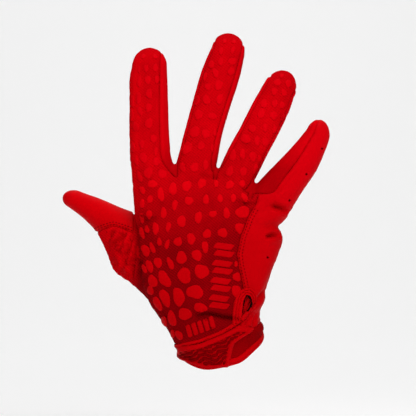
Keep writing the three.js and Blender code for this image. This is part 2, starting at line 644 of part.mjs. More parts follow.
// Cuff, its rim, the piping over its seam, and the strap with its patch
function addCuff() {
  add("cuff_band", glove.intersect(cuffRegion(0)).subtract(slit).subtract(rimRoom), materials.elastic);
  add("cuff_rim", rimSolid(0).subtract(slit), materials.binding);
  const low = SEAM_GAP;
  const piping = (grow) => ribbonPrism(CUFF_SEAM.slice(2, -2), PIPING_WIDTH + 2 * grow, 0);
  add("wrist_piping", raisedPiece(piping(0), low, low + BINDING_HEIGHT), materials.binding);
  const overPrint = PRINT_HEIGHT + SEAM_GAP;
  const bindingPrism = frontPrism(shapeOf(VENT_BINDING), 0);
  const bindingSolid = raisedPiece(bindingPrism, overPrint, overPrint + BINDING_HEIGHT)
    .subtract(vent)
    .subtract(piping(SEAM_GAP))
    .subtract(slit);
  add("vent_binding", bindingSolid, materials.binding);
  const strap = raisedPiece(frontPrism(shapeOf(STRAP), 0), low, low + STRAP_THICKNESS)
    .subtract(piping(SEAM_GAP))
    .subtract(rimRoom);
  add("strap_tab", strap, materials.smoothFabric);
  const patchLow = 2 * SEAM_GAP + STRAP_THICKNESS;
  const patchTop = patchLow + PATCH_THICKNESS;
  const patch = frontPrism(shapeOf(PATCH), 0);
  const border = patch.subtract(frontPrism(shapeOf(scaledAbout(PATCH, PATCH_CENTRE, PATCH_BORDER_INNER)), 0));
  const waves = PATCH_WAVES.map(({ fromX, fromZ, toX, toZ, swing }) => {
    const points = Array.from({ length: WAVE_STEPS + 1 }, (_, i) => {
      const share = i / WAVE_STEPS;
      return [mix(fromX, toX, share), mix(fromZ, toZ, share) + swing * Math.sin(share * 3 * Math.PI)];
    });
    return ribbonPrism(points, WAVE_WIDTH, 0);
  });
  const relief = raisedPiece(union([border, ...waves]), patchTop - RELIEF_ROOT, patchTop + PATCH_RELIEF);
  add("tab_patch", raisedPiece(patch, patchLow, patchTop).add(relief), materials.moulding);
}

addPanels();
addStrips();
addCuff();

export default group;
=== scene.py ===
"""A right-hand receiver's glove for football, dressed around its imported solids.

The glove is sewn from thin stretch panels and stands as on a hand with spread fingers. One smooth body is
made from the sections of the hand and the digits, cut along the seams into panels, and pressed into seams,
folds and wrinkles. Print, piping, stitches, the cuff's rim, the strap and its patch are laid on that surface.
Tables are in millimetres, seen from the back of the hand: x towards the little finger, z to the fingertips.
"""

import logging
import math
from collections.abc import Callable, Sequence
from dataclasses import dataclass
from enum import Enum

import bmesh
import bpy
import numpy as np
from mathutils import Matrix, Vector
from mathutils.bvhtree import BVHTree
from mathutils.kdtree import KDTree


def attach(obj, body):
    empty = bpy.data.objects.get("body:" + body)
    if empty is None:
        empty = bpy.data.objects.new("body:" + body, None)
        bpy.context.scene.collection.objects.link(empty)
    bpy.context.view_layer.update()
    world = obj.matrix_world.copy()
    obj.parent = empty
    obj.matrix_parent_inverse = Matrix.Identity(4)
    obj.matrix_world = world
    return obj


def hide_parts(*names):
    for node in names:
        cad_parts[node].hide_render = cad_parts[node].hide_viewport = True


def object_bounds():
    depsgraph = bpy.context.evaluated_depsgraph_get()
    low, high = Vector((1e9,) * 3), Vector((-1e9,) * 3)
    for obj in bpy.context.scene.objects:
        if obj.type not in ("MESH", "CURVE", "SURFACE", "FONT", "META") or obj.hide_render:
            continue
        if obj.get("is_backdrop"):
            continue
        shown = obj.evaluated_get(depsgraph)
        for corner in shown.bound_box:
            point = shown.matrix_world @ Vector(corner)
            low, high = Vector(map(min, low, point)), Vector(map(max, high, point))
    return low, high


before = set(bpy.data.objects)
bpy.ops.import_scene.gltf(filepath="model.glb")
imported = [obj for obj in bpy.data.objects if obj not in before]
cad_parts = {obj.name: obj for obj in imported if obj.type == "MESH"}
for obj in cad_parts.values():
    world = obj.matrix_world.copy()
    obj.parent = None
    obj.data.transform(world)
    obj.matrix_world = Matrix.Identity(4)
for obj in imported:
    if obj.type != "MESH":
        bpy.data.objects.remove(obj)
CAD_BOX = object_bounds()

LOG = logging.getLogger("football_glove")
MM = 0.001
TO_MM = Matrix.Diagonal((1000, 1000, 1000, 1))
TO_METRES = Matrix.Diagonal((MM, MM, MM, 1))

Array = np.ndarray
Tree = bpy.types.NodeTree
Socket = bpy.types.NodeSocket
Work = bmesh.types.BMesh
Point = tuple[float, float]
Outline = tuple[Point, ...]
Spot = tuple[float, float, float, float, float]
Part = tuple[Array, list[tuple[int, ...]]]
Field = Callable[[Array], Array]

# The middle surface of the glove, seen from the side, as in the solids.
PALM_Y = -12.0
WRIST_TOP_Z = 60.0
KNUCKLE_Z = 95.0
CURL_PER_MM = 0.0019
SEAM_BEHIND_MIDDLE = 1.0


def middle_y(z: Array | float) -> Array:
    """The depth of the glove's middle surface.

    Args:
        z: Heights above the cuff's mouth.

    Returns:
        The y of the middle surface at each height.
    """
    z = np.asarray(z, float)
    wrist = PALM_Y * (1 - (1 - z / WRIST_TOP_Z) ** 2)
    hand = PALM_Y + CURL_PER_MM * np.maximum(0, z - KNUCKLE_Z) ** 2
    return np.where(z < WRIST_TOP_Z, wrist, hand)


def through(at: Array, rows: Array, where: Array) -> Array:
    """Smooth columns through rows of numbers that never swing past a row.

    Args:
        at: Where each row stands, rising.
        rows: One row of numbers for each place.
        where: The places that are asked for.

    Returns:
        One row of numbers for each asked place.
    """
    gap = np.diff(at)[:, None]
    slope = np.diff(rows, axis=0) / gap
    tangent = np.zeros_like(rows)
    tangent[0], tangent[-1] = slope[0], slope[-1]
    before, after = slope[:-1], slope[1:]
    same = before * after > 0
    w1, w2 = 2 * gap[1:] + gap[:-1], gap[1:] + 2 * gap[:-1]
    inverse = w1 / np.where(same, before, 1.0) + w2 / np.where(same, after, 1.0)
    tangent[1:-1] = np.where(same, (w1 + w2) / inverse, 0)
    i = np.clip(np.searchsorted(at, where, "right") - 1, 0, len(at) - 2)
    step = (at[i + 1] - at[i])[:, None]
    s = (where - at[i])[:, None] / step
    h00, h10 = 2 * s**3 - 3 * s**2 + 1, s**3 - 2 * s**2 + s
    h01, h11 = -2 * s**3 + 3 * s**2, s**3 - s**2
    return h00 * rows[i] + h10 * step * tangent[i] + h01 * rows[i + 1] + h11 * step * tangent[i + 1]


def bell(offset: Array, width: float) -> Array:
    """Falls off smoothly from 1 on both sides of nought."""
    return np.exp(-((offset / width) ** 2))


def near(flat: Array, centre: Point, reach: float) -> Array:
    """Falls off smoothly from 1 round a place seen from the back of the hand."""
    return np.exp(-(((flat - np.array(centre)) ** 2).sum(axis=1)) / reach**2)


def ease(value: Array) -> Array:
    """Rises from 0 to 1 with soft ends."""
    share = np.clip(value, 0, 1)
    return share * share * (3 - 2 * share)


def section_ring(sides: int, power: float) -> tuple[Array, Array]:
    """Places round a section.

    Args:
        sides: How many places.
        power: How square the section is.

    Returns:
        The places across and the places in depth, each from -1 to 1.
    """
    angle = np.linspace(0, 2 * math.pi, sides, endpoint=False)
    across, deep = (np.sign(wave) * np.abs(wave) ** (2 / power) for wave in (np.cos(angle), np.sin(angle)))
    return across, deep


@dataclass(frozen=True)
class Sections:
    """Sections along a body: centres, directions across, half widths, depths and leads."""

    centre: Array
    across: Array
    half: Array
    front: Array
    back: Array
    lead: Array

    def points(self, u: Array, v: Array) -> Array:
        """Points of all sections.

        Args:
            u: Places across, from -1 to 1.
            v: Places in depth, from -1 at the front to 1 at the back.

        Returns:
            An array of sections by places by x, y and z.
        """
        depth = np.where(v < 0, self.front[:, None], self.back[:, None])
        x = self.centre[:, 0, None] + self.across[:, 0, None] * self.half[:, None] * u
        y = self.centre[:, 1, None] + depth * v
        z = self.centre[:, 2, None] + self.across[:, 1, None] * self.half[:, None] * u
        return np.stack([x, y, z + self.lead[:, None] * v], axis=2)


@dataclass(frozen=True)
class Placed:
    """Where points lie in a body's own sections, in shares and millimetres."""

    u: Array
    v: Array
    half: Array
    front: Array
    back: Array
    height: Array


@dataclass(frozen=True)
class Loft:
    """A body through a table of sections: left x and z, right x and z, front, back, lead and y."""

    rows: Array
    tip: tuple[float, float, float]
    power: float
    steps: int = 70
    sides: int = 56
    cap_steps: int = 10
    cap_end_degrees: float = 88.0
    past_tip: float = 1.8
    past_tip_shares: tuple[float, ...] = (0.34, 0.67, 1.0)

    def sections_of(self, rows: Array) -> Sections:
        """The sections that rows of the table describe.

        Args:
            rows: Rows as in the body's table.

        Returns:
            Their sections, each seen across its own width.
        """
        left, right = rows[:, 0:2], rows[:, 2:4]
        span = right - left
        width = np.linalg.norm(span, axis=1)
        middle = (left + right) / 2
        centre = np.column_stack([middle[:, 0], rows[:, 7], middle[:, 1]])
        return Sections(centre, span / width[:, None], width / 2, rows[:, 4], rows[:, 5], rows[:, 6])

    def smooth_rows(self) -> Array:
        """The table's rows, filled in evenly along the body.

        Returns:
            As many rows as the body has steps.
        """
        middle = (self.rows[:, 0:2] + self.rows[:, 2:4]) / 2
        at = np.concatenate([[0], np.cumsum(np.linalg.norm(np.diff(middle, axis=0), axis=1))])
        return through(at, self.rows, np.linspace(0, at[-1], self.steps))

    def guide(self) -> Sections:
        """Sections that go on past the tip at full width, for saying where a point lies.

        Returns:
            The body's sections and those past its tip.
        """
        rows = self.smooth_rows()
        last = rows[-1].copy()
        middle = (last[0:2] + last[2:4]) / 2
        shift = (np.array([self.tip[0], self.tip[2]]) - middle) * self.past_tip
        last[0:2] += shift
        last[2:4] += shift
        last[7] += (self.tip[1] - last[7]) * self.past_tip
        ends = [rows[-1] + (last - rows[-1]) * share for share in self.past_tip_shares]
        return self.sections_of(np.vstack([rows, *ends]))

    def locate(self, points: Array) -> Placed:
        """Places points in the body's sections.

        Args:
            points: An array of x, y and z.

        Returns:
            Where each point lies, with the section's sizes there.
        """
        guide = self.guide()
        flat = points[:, None, [0, 2]] - guide.centre[None, :, [0, 2]]
        beyond = guide.across[:, 0] * flat[:, :, 1] - guide.across[:, 1] * flat[:, :, 0]
        count = np.clip((beyond > 0).sum(axis=1), 1, len(guide.half) - 1)
        i = count - 1
        rows = np.arange(len(points))
        below, above = beyond[rows, i], beyond[rows, i + 1]
        share = np.clip(below / np.where(np.abs(below - above) < 1e-9, 1, below - above), 0, 1)

        def at(values: Array) -> Array:
            """The values between the two sections next to each point."""
            mixed = share[:, None] if values.ndim > 1 else share
            return values[i] + (values[i + 1] - values[i]) * mixed

        centre, across, half = at(guide.centre), at(guide.across), at(guide.half)
        front, back = at(guide.front), at(guide.back)
        offset = points - centre
        u = (offset[:, 0] * across[:, 0] + offset[:, 2] * across[:, 1]) / half
        v = offset[:, 1] / np.where(offset[:, 1] < 0, front, back)
        return Placed(u, v, half, front, back, centre[:, 2])

    def beyond(self, points: Array, start_z: float) -> Array:
        """How far points lie past one section, towards the tip.

        Args:
            points: An array of x, y and z.
            start_z: The height of that section's centre.

        Returns:
            The distance past the section, in millimetres.
        """
        guide = self.guide()
        k = int(np.argmin(np.abs(guide.centre[:, 2] - start_z)))
        flat = points[:, [0, 2]] - guide.centre[k, [0, 2]]
        return guide.across[k, 0] * flat[:, 1] - guide.across[k, 1] * flat[:, 0]

    def rings(self) -> Array:
        """All the rings of the closed body, from its foot to its rounded tip.

        Returns:
            An array of rings by places by x, y and z.
        """
        rows = self.smooth_rows()
        last = rows[-1]
        middle = (last[0:2] + last[2:4]) / 2
        reach = np.array([self.tip[0], self.tip[2]]) - middle
        caps = []
        for degrees in np.linspace(0, self.cap_end_degrees, self.cap_steps + 1)[1:]:
            share, size = math.sin(math.radians(degrees)), math.cos(math.radians(degrees))
            row = last.copy()
            row[0:2] = middle + (last[0:2] - middle) * size + reach * share
            row[2:4] = middle + (last[2:4] - middle) * size + reach * share
            row[4:7] = last[4:7] * size
            row[7] = last[7] + (self.tip[1] - last[7]) * share
            caps.append(row)
        across, deep = section_ring(self.sides, self.power)
        return self.sections_of(np.vstack([rows, *caps])).points(across[None, :], deep[None, :])


def digit(rows: Sequence[Sequence[float]], tip: Point, power: float) -> Loft:
    """A finger's body from rows of left x and z, right x and z, and depth.

    Args:
        rows: The finger's sections, from inside the hand to where its tip rounds off.
        tip: The tip's x and z.
        power: How square a section is.

    Returns:
        The finger's body, on the glove's middle surface.
    """
    full = [[a, b, c, d, e, e, 0, float(middle_y((b + d) / 2))] for a, b, c, d, e in rows]
    return Loft(np.array(full, float), (tip[0], float(middle_y(tip[1])), tip[1]), power)


def hand_loft(rows: Sequence[Sequence[float]], tip: Point, power: float, overrun: float) -> Loft:
    """The hand's body, carried past the cuff's mouth so that it can be cut open there.

    Args:
        rows: Left x and z, right x and z, front, back and lead of each section.
        tip: The x and z of its end between the fingers.
        power: How square a section is.
        overrun: How far the body goes on below the mouth.

    Returns:
        The hand's body, on the glove's middle surface.
    """
    foot = list(rows[0])
    foot[1] -= overrun
    foot[3] -= overrun
    levels = [(row[1] + row[3]) / 2 for row in (rows[0], *rows)]
    full = [[*row, float(middle_y(level))] for row, level in zip([foot, *rows], levels)]
    return Loft(np.array(full, float), (tip[0], float(middle_y(tip[1])), tip[1]), power, steps=90, sides=96)


def thumb_loft(rows: Sequence[Sequence[float]], tip: tuple[float, float, float], power: float) -> Loft:
    """The thumb's body from rows of left x and z, right x and z, depth, and the y of its middle."""
    full = [[a, b, c, d, e, e, 0, y] for a, b, c, d, e, y in rows]
    return Loft(np.array(full, float), tip, power)


HAND_POWER = 2.35
DIGIT_POWER = 2.15
HAND = hand_loft(
    (
        (-30.3, -5.6, 29.6, 5.6, 21.4, 21.4, 11.6), (-34, 3.4, 29.6, 14.2, 19.9, 20.3, 9.2),
        (-38.8, 15, 27.3, 22, 19, 20, 7), (-42.9, 22.5, 27.3, 28, 18.8, 20, 5),
        (-49.4, 32.2, 31.2, 37, 19.6, 20, 2), (-53.9, 45.5, 34, 45, 18, 19, 0),
        (-56.7, 63, 39.6, 63, 16.2, 18, 0), (-58.3, 79, 43.6, 77, 15.5, 17, 0),
        (-59.4, 94, 40, 86.5, 14.6, 15.5, 0), (-60.4, 110.6, 34, 104, 12.8, 13.2, 0),
        (-59.6, 119, 26, 112, 10.8, 11, 0),
    ),
    (-16, 127.5),
    HAND_POWER,
    overrun=9,
)
INDEX = digit(
    (
        (-59.4, 92, -33, 92, 13), (-60.8, 110, -32.6, 110, 11.4), (-61.8, 123, -32, 123, 10.4),
        (-63.2, 138, -34.8, 138, 10), (-63.7, 188, -37, 188, 9.2), (-62, 198, -37.4, 198, 8.8),
    ),
    (-49.6, 211.5),
    DIGIT_POWER,
)
MIDDLE = digit(
    (
        (-37, 95, -10, 90, 13), (-32.8, 113.7, -7.6, 107, 11.2), (-30.3, 129, -3.6, 122.4, 10.2),
        (-24.3, 153.8, 1.1, 147.1, 9.8), (-9.1, 205, 15.9, 198.2, 9.2), (-5.6, 212.4, 17.4, 206, 8.8),
    ),
    (8.9, 221.6),
    DIGIT_POWER,
)
RING = digit(
    (
        (-14, 100, 12, 88, 12.5), (-3.9, 117.5, 18.6, 106.2, 10.8), (2.9, 133.2, 26.2, 121.2, 10),
        (13.8, 154, 36.7, 142, 9.6), (25.9, 176.9, 48.3, 165.4, 9.2), (31.3, 186.2, 51.8, 176, 8.8),
    ),
    (48.6, 194.2),
    DIGIT_POWER,
)
LITTLE = digit(
    (
        (8, 97, 33, 76, 12), (21.5, 110.4, 46.4, 91.4, 10.4), (33, 122.8, 55, 105.6, 9.8),
        (48.5, 138.6, 67.2, 123.6, 9), (61, 153.4, 75.6, 142.6, 7.8),
    ),
    (73.2, 158.6),
    DIGIT_POWER,
)
THUMB = thumb_loft(
    (
        (-48.6, 32, -24, 66, 14, -6), (-60.2, 43.4, -44.8, 85.4, 14, -1),
        (-74.6, 54.8, -55.3, 91.7, 12.6, 4), (-80, 67, -63, 95.6, 11.6, 8),
        (-86.6, 80, -73.5, 99.8, 10.4, 12), (-95.9, 90, -86.1, 105.2, 9, 15),
        (-107, 98.4, -98, 109.4, 7.6, 17.5),
    ),
    (-110.6, 19, 108),
    DIGIT_POWER,
)

# Seams, seen from the back of the hand, as in the solids.
CUFF_SEAM: Outline = ((-70, -6), (-36, 0.8), (-27.3, 2.4), (-14, 5.4), (0.7, 11.4), (11.4, 17.7),
                      (16.8, 22.5), (21, 26.6), (25.2, 31.5), (34, 41), (70, 75))
SIDE_SEAM: Outline = ((60, 180), (50, 154), (27.6, 114.8), (25.6, 103), (23.8, 98.9), (19.9, 92.1),
                      (14.5, 78.4), (11.8, 65.6), (13, 57.8), (16, 44), (17.2, 36), (15.6, 28), (13.4, 16),
                      (13.4, -30))
THUMB_SEAM: Outline = ((-130, 66), (-92, 78.6), (-86.1, 81.2), (-81.9, 83.3), (-74.9, 85.4), (-67.2, 83),
                       (-61, 80.5), (-60.6, 94), (-61.2, 130))
CUFF_CLIMB = 0.5
VENT: Outline = ((14.9, 21.4), (14.6, 25), (15.4, 30), (16.2, 34.8), (17.9, 37.5), (20, 36.4), (21.6, 32.6),
                 (20.5, 30), (18.4, 26.7))
STRAP: Outline = ((-31, 1), (-14.4, 3.6), (0.2, 9.4), (10.4, 14.6), (13.2, 17), (17, 17.2), (24.4, 13.4),
                  (10, 3.8), (8.8, -0.6), (6.2, -13.2), (-9.9, -13.2), (-29.8, -8))
PATCH: Outline = ((-28.6, 0), (-14, 2.4), (-3.5, 6.6), (11.9, 14), (16.8, 14), (21.8, 12.2), (9, 4.2),
                  (7.4, 0), (5, -12.8), (-9.9, -13.3), (-29.6, -6.8))
# The top edge of the elastic, on the back and on the palm
CUFF_TOP: Outline = (*CUFF_SEAM[:6], (15.5, 15.2), (22.3, 13.6), (27.9, 17.4), (34, 23), (70, 42))
CUFF_TOP_PALM: Outline = (*CUFF_SEAM[:5], (16, 15.8), (27.9, 17.4), (34, 23), (70, 42))
VENT_SLIT: Outline = ((16.4, 24), (13.5, 15), (6.5, 6), (1.5, -4), (-0.5, -30), (-2.9, -30), (-1.3, -4),
                      (4.2, 6.6), (11.3, 15.6), (13.6, 24))
PATCH_CENTRE: Point = (-8, -1.5)


def area_of(outline: Outline) -> Array:
    """The outline's corners as an array."""
    return np.array(outline, float)


def inside_by(points: Array, outline: Outline) -> Array:
    """How far points lie inside a closed outline.

    Args:
        points: An array of x and z.
        outline: The outline's corners, in order.

    Returns:
        The distance to the outline, positive inside it and negative outside.
    """
    corners = area_of(outline)
    nearest = np.full(len(points), 1e9)
    inside = np.zeros(len(points), bool)
    for a, b in zip(corners, np.roll(corners, -1, axis=0)):
        edge = b - a
        share = np.clip(((points - a) @ edge) / max(edge @ edge, 1e-9), 0, 1)
        nearest = np.minimum(nearest, np.linalg.norm(points - a - share[:, None] * edge, axis=1))
        crosses = (a[1] > points[:, 1]) != (b[1] > points[:, 1])
        rise = b[1] - a[1] if abs(b[1] - a[1]) > 1e-9 else 1e-9
        inside ^= crosses & (points[:, 0] < a[0] + (points[:, 1] - a[1]) / rise * edge[0])
    return np.where(inside, nearest, -nearest)


def along_line(points: Array, line: Outline) -> tuple[Array, Array]:
    """Where points lie beside a line of corners.

    Args:
        points: An array of x and z.
        line: The line's corners.

    Returns:
        Their distances from the line, and their shares of the way along it.
    """
    corners = area_of(line)
    lengths = np.linalg.norm(np.diff(corners, axis=0), axis=1)
    starts = np.concatenate([[0], np.cumsum(lengths)])
    nearest, share_at = np.full(len(points), 1e9), np.zeros(len(points))
    for i, (a, b) in enumerate(zip(corners[:-1], corners[1:])):
        edge = b - a
        share = np.clip(((points - a) @ edge) / max(edge @ edge, 1e-9), 0, 1)
        distance = np.linalg.norm(points - a - share[:, None] * edge, axis=1)
        closer = distance < nearest
        nearest = np.where(closer, distance, nearest)
        share_at = np.where(closer, (starts[i] + share * lengths[i]) / starts[-1], share_at)
    return nearest, share_at


def rounded(outline: Outline, spacing: float, passes: int = 2, closed: bool = True) -> Array:
    """An outline with even, closely spaced points and softened corners.

    Args:
        outline: The corners.
        spacing: The distance between points.
        passes: How often each point moves towards its neighbours' middle.
        closed: Whether the last corner joins the first.

    Returns:
        An array of x and z.
    """
    corners = area_of(outline)
    if closed:
        corners = np.vstack([corners, corners[:1]])
    at = np.concatenate([[0], np.cumsum(np.linalg.norm(np.diff(corners, axis=0), axis=1))])
    count = max(4, int(round(at[-1] / spacing)))
    where = np.linspace(0, at[-1], count + (0 if closed else 1), endpoint=not closed)
    points = np.column_stack([np.interp(where, at, corners[:, k]) for k in range(2)])
    for _ in range(passes):
        middle = (np.roll(points, 1, axis=0) + np.roll(points, -1, axis=0)) / 2
        if not closed:
            middle[0], middle[-1] = points[0], points[-1]
        points = points * 0.5 + middle * 0.5
    return points


@dataclass(frozen=True)
class Strip:
    """One side strip of a finger: side is 1 towards the little finger, and front where it starts.

    front_at_tip is where it starts at the fingertip, rear where it ends in the palm, and reach how far past
    the finger's own sides it counts. taper is the height over which it narrows at its lower end to
    meeting_point.
    """

    panel: str
    finger: Loft
    side: int
    start_z: float
    front: float
    front_at_tip: float
    rear: float = 0.5
    reach: float = 1.3
    taper: float = 14.0
    taper_power: float = 1.6
    meeting_point: float = 1.06

    def depth(self, points: Array) -> Array:
        """How far points lie inside the strip.

        Args:
            points: An array of x, y and z.

        Returns:
            The distance to the strip's edge in millimetres, positive inside it.
        """
        placed = self.finger.locate(points)
        top = self.finger.tip[2]
        share = np.clip((placed.height - self.start_z) / (top - self.start_z), 0, 1)
        narrowing = np.clip(1 - (placed.height - self.start_z) / self.taper, 0, 1) ** self.taper_power
        edge = self.front + (self.front_at_tip - self.front) * share
        edge += (self.meeting_point - edge) * narrowing
        u = placed.u * self.side
        limits = [
            (u - edge) * placed.half,
            (self.rear - placed.v) * placed.back,
            self.finger.beyond(points, self.start_z),
            (self.reach - u) * placed.half,
            (placed.v + self.reach) * placed.front,
        ]
        return np.minimum.reduce(limits)


FINGERS = (INDEX, MIDDLE, RING, LITTLE)

STRIPS: tuple[Strip, ...] = (
    Strip("fourchette_index_middle", INDEX, 1, 119, 0.5, 0.66, reach=1.16),
    Strip("fourchette_index_middle", MIDDLE, -1, 119, 0.88, 0.93, reach=1.16),
    Strip("fourchette_middle_ring", MIDDLE, 1, 121, 0.72, 0.8, reach=1.16),
    Strip("fourchette_middle_ring", RING, -1, 116, 0.84, 0.9, reach=1.16),
    Strip("fourchette_ring_little", RING, 1, 112, 0.87, 0.92),
    Strip("fourchette_ring_little", LITTLE, -1, 99, 0.06, 0.46, reach=1.2, taper=10.0),
)


class Regions:
    """The areas that the seams divide the glove into. Each method says how far points lie inside one."""

    thumb_start_z = 49.0
    thumb_across = (-1.4, 1.08)
    front_from_x = -75.0
    vent_from_y = -6.0
    # The mouth's rise for each millimetre across and in depth, as in the hand's first section
    mouth_rise = (5.6 / 29.95, 11.6 / 21.4)
    # The corners that close an open seam line round the area below, above, or beside it
    below_cuff = ((70, -60), (-70, -60))
    above_thumb = ((-130, 130),)
    beside_hand = ((90, -30), (90, 180))

    def mouth(self, points: Array) -> Array:
        """Above the cuff's mouth, which slants with the forearm."""
        across, forwards = self.mouth_rise
        return points[:, 2] - across * points[:, 0] - forwards * points[:, 1]

    def strips(self, points: Array, panel: str = "") -> Array:
        """In any strip, or in those of one panel."""
        return np.maximum.reduce([strip.depth(points) for strip in STRIPS if panel in ("", strip.panel)])

    def cuff(self, points: Array) -> Array:
        """Below the cuff's seam, which climbs behind the middle of the wrist.

        Args:
            points: An array of x, y and z.

        Returns:
            How far they lie inside the cuff.
        """
        flat = points[:, [0, 2]].copy()
        flat[:, 1] -= CUFF_CLIMB * np.maximum(0, points[:, 1])
        back, palm = (inside_by(flat, (*top, *self.below_cuff)) for top in (CUFF_TOP, CUFF_TOP_PALM))
        return np.where(points[:, 1] < 0, back, palm)

    def thumb(self, points: Array) -> Array:
        """On the smooth piece of the thumb."""
        return inside_by(points[:, [0, 2]], (*THUMB_SEAM, *self.above_thumb))

    def side(self, points: Array) -> Array:
        """On the smooth side next to the little finger."""
        return inside_by(points[:, [0, 2]], (*SIDE_SEAM, *self.beside_hand))

    def front(self, points: Array) -> Array:
        """In front of the side seams of the hand, the fingers and the thumb.

        Args:
            points: An array of x, y and z.

        Returns:
            How far they lie in front of those seams.
        """
        before_middle = middle_y(points[:, 2]) + SEAM_BEHIND_MIDDLE - points[:, 1]
        hand = np.minimum(before_middle, points[:, 0] - self.front_from_x)
        placed = THUMB.locate(points)
        low, high = self.thumb_across
        thumb = np.minimum.reduce([
            (placed.u - low) * placed.half,
            (high - placed.u) * placed.half,
            SEAM_BEHIND_MIDDLE - placed.v * placed.back,
            THUMB.beyond(points, self.thumb_start_z),
        ])
        return np.maximum(hand, thumb)

    def vent(self, points: Array) -> Array:
        """In the vent over the wrist or its slit, on the back of the hand.

        Args:
            points: An array of x, y and z.

        Returns:
            How far they lie inside the opening.
        """
        flat = points[:, [0, 2]]
        opening = np.maximum(inside_by(flat, VENT), inside_by(flat, VENT_SLIT))
        return np.minimum(opening, self.vent_from_y - points[:, 1])


class Panel(Enum):
    """The sewn panels, each with the name of the solid that it stands for."""

    BACK = "back_panel"
    SIDE = "side_panel"
    PALM = "palm_panel"
    THUMB = "thumb_sleeve"
    STRIP_INDEX = "fourchette_index_middle"
    STRIP_MIDDLE = "fourchette_middle_ring"
    STRIP_RING = "fourchette_ring_little"
    CUFF = "cuff_band"
    WASTE = "waste"


@dataclass(frozen=True)
class Crease:
    """A line where the skin is pressed in, with a swelling beside it.

    line is its course, width and depth its size, swell the height of the skin beside it, and side is 1 where
    that swelling lies left of the line's direction, -1 where right, and 0 where on both sides. behind puts
    the line on the palm's side.
    """

    line: Outline
    width: float
    depth: float
    swell: float = 0.0
    side: int = 0
    behind: bool = False


CREASES: tuple[Crease, ...] = (
    # The deep fold over the cuff
    Crease(((-18.5, 23.2), (-12, 24.4), (-7, 24.2), (4, 21.8), (11.5, 21.0), (16, 19.4)), 1.6, 5.4, 1.6, 1),
    Crease(((-22, 21), (-12, 21.6), (-2, 19.6), (8, 17)), 1.3, 1.2, 0.4),
    # Folds on the little finger's side
    Crease(((47.5, 95.2), (43, 97.2), (36, 99.6)), 1.8, 6.6, 1.3),
    Crease(((47, 101), (39, 100.6), (32, 97), (29, 92)), 3.2, 1.4, 0.5),
    Crease(((42.2, 78.6), (38, 79.4), (32, 77.8)), 1.6, 6.0, 1.3),
    Crease(((44, 84), (36, 84.6), (30, 82)), 3.0, 1.5, 0.5),
    Crease(((40, 60), (37, 50), (31, 40)), 2.6, 1.3, 0.5),
    # Folds between the vent and the cuff
    Crease(((32.5, 41.5), (26, 34), (20.5, 28.4)), 1.6, 3.2, 0.9),
    Crease(((21.6, 27.6), (17.4, 21.4), (13.6, 17.4)), 0.9, 1.9, 0.5),
    Crease(((24.4, 26.4), (20, 20.2), (16.4, 16.6)), 0.9, 1.7, 0.5),
    Crease(((25.6, 25.6), (23.2, 19.6), (22.4, 13.8)), 0.9, 1.6, 0.5),
    Crease(((10.5, 102.6), (16, 101.4), (23, 100.6), (28, 103)), 1.3, 1.8, 0.6),
    Crease(((52, 122), (43, 111), (34, 103)), 1.2, 1.2, 0.4),
    # Folds across the knuckles
    Crease(((-16, 121), (-9, 119.4), (-2, 119.6), (3, 121)), 1.5, 1.5, 0.7),
    Crease(((-32, 122), (-27, 126), (-24, 131)), 2.0, 0.9, 0.4),
    Crease(((-62, 137), (-56, 134), (-48, 136)), 2.6, 0.8, 0.5),
    Crease(((-26, 143), (-20, 140.8), (-12, 141.5)), 2.2, 0.7, 0.4),
    Crease(((12, 144), (18, 140.5), (25, 139)), 2.2, 0.7, 0.4),
    # Wrinkles where the thumb leaves the hand
    Crease(((-74, 84), (-76.5, 79), (-79, 75)), 1.4, 2.6, 0.6),
    Crease(((-66, 80), (-71, 75.5), (-76, 71.5)), 1.4, 4.2, 1.3),
    Crease(((-66.5, 84), (-68, 76), (-72, 66)), 1.6, 2.2, 0.8),
    Crease(((-61, 80), (-63.5, 70), (-68, 58)), 1.5, 3.6, 1.2),
    Crease(((-58.5, 74), (-60, 62), (-62, 48)), 1.5, 3.2, 1.0),
    Crease(((-58.8, 88), (-58.2, 76), (-56.5, 62)), 1.6, 2.8, 0.7),
    Crease(((-57, 66), (-55.5, 56), (-57.5, 44)), 1.4, 2.4, 0.8),
    Crease(((-70, 62), (-64, 58), (-60, 57)), 1.3, 1.8, 0.6),
    Crease(((-52, 50), (-55, 46), (-57, 42)), 1.4, 1.2, 0.4),
    # The palm's own folds
    Crease(((30, 82), (14, 74), (-8, 76), (-30, 84)), 2.2, 1.5, 0.6, 0, True),
    Crease(((34, 66), (16, 60), (-6, 62), (-24, 70), (-40, 84)), 2.2, 1.5, 0.6, 0, True),
    Crease(((-46, 84), (-30, 68), (-20, 50), (-18, 30)), 2.6, 2.0, 0.7, 0, True),
    Crease(((-60, 138), (-48, 137.5), (-38, 138)), 1.8, 1.4, 0.5, 0, True),
    Crease(((-62, 166), (-50, 165), (-38, 166)), 1.8, 1.2, 0.5, 0, True),
    Crease(((-28, 142), (-16, 139), (-4, 136)), 1.8, 1.4, 0.5, 0, True),
    Crease(((-20, 172), (-7, 169), (6, 166)), 1.8, 1.2, 0.5, 0, True),
    Crease(((6, 143), (18, 138), (30, 132)), 1.8, 1.4, 0.5, 0, True),
    Crease(((18, 164), (30, 158), (42, 152)), 1.8, 1.2, 0.5, 0, True),
    Crease(((36, 128), (46, 121), (56, 113)), 1.8, 1.3, 0.5, 0, True),
)


WAVE_DIRECTIONS = 9
WAVE_HEIGHT = 1.4


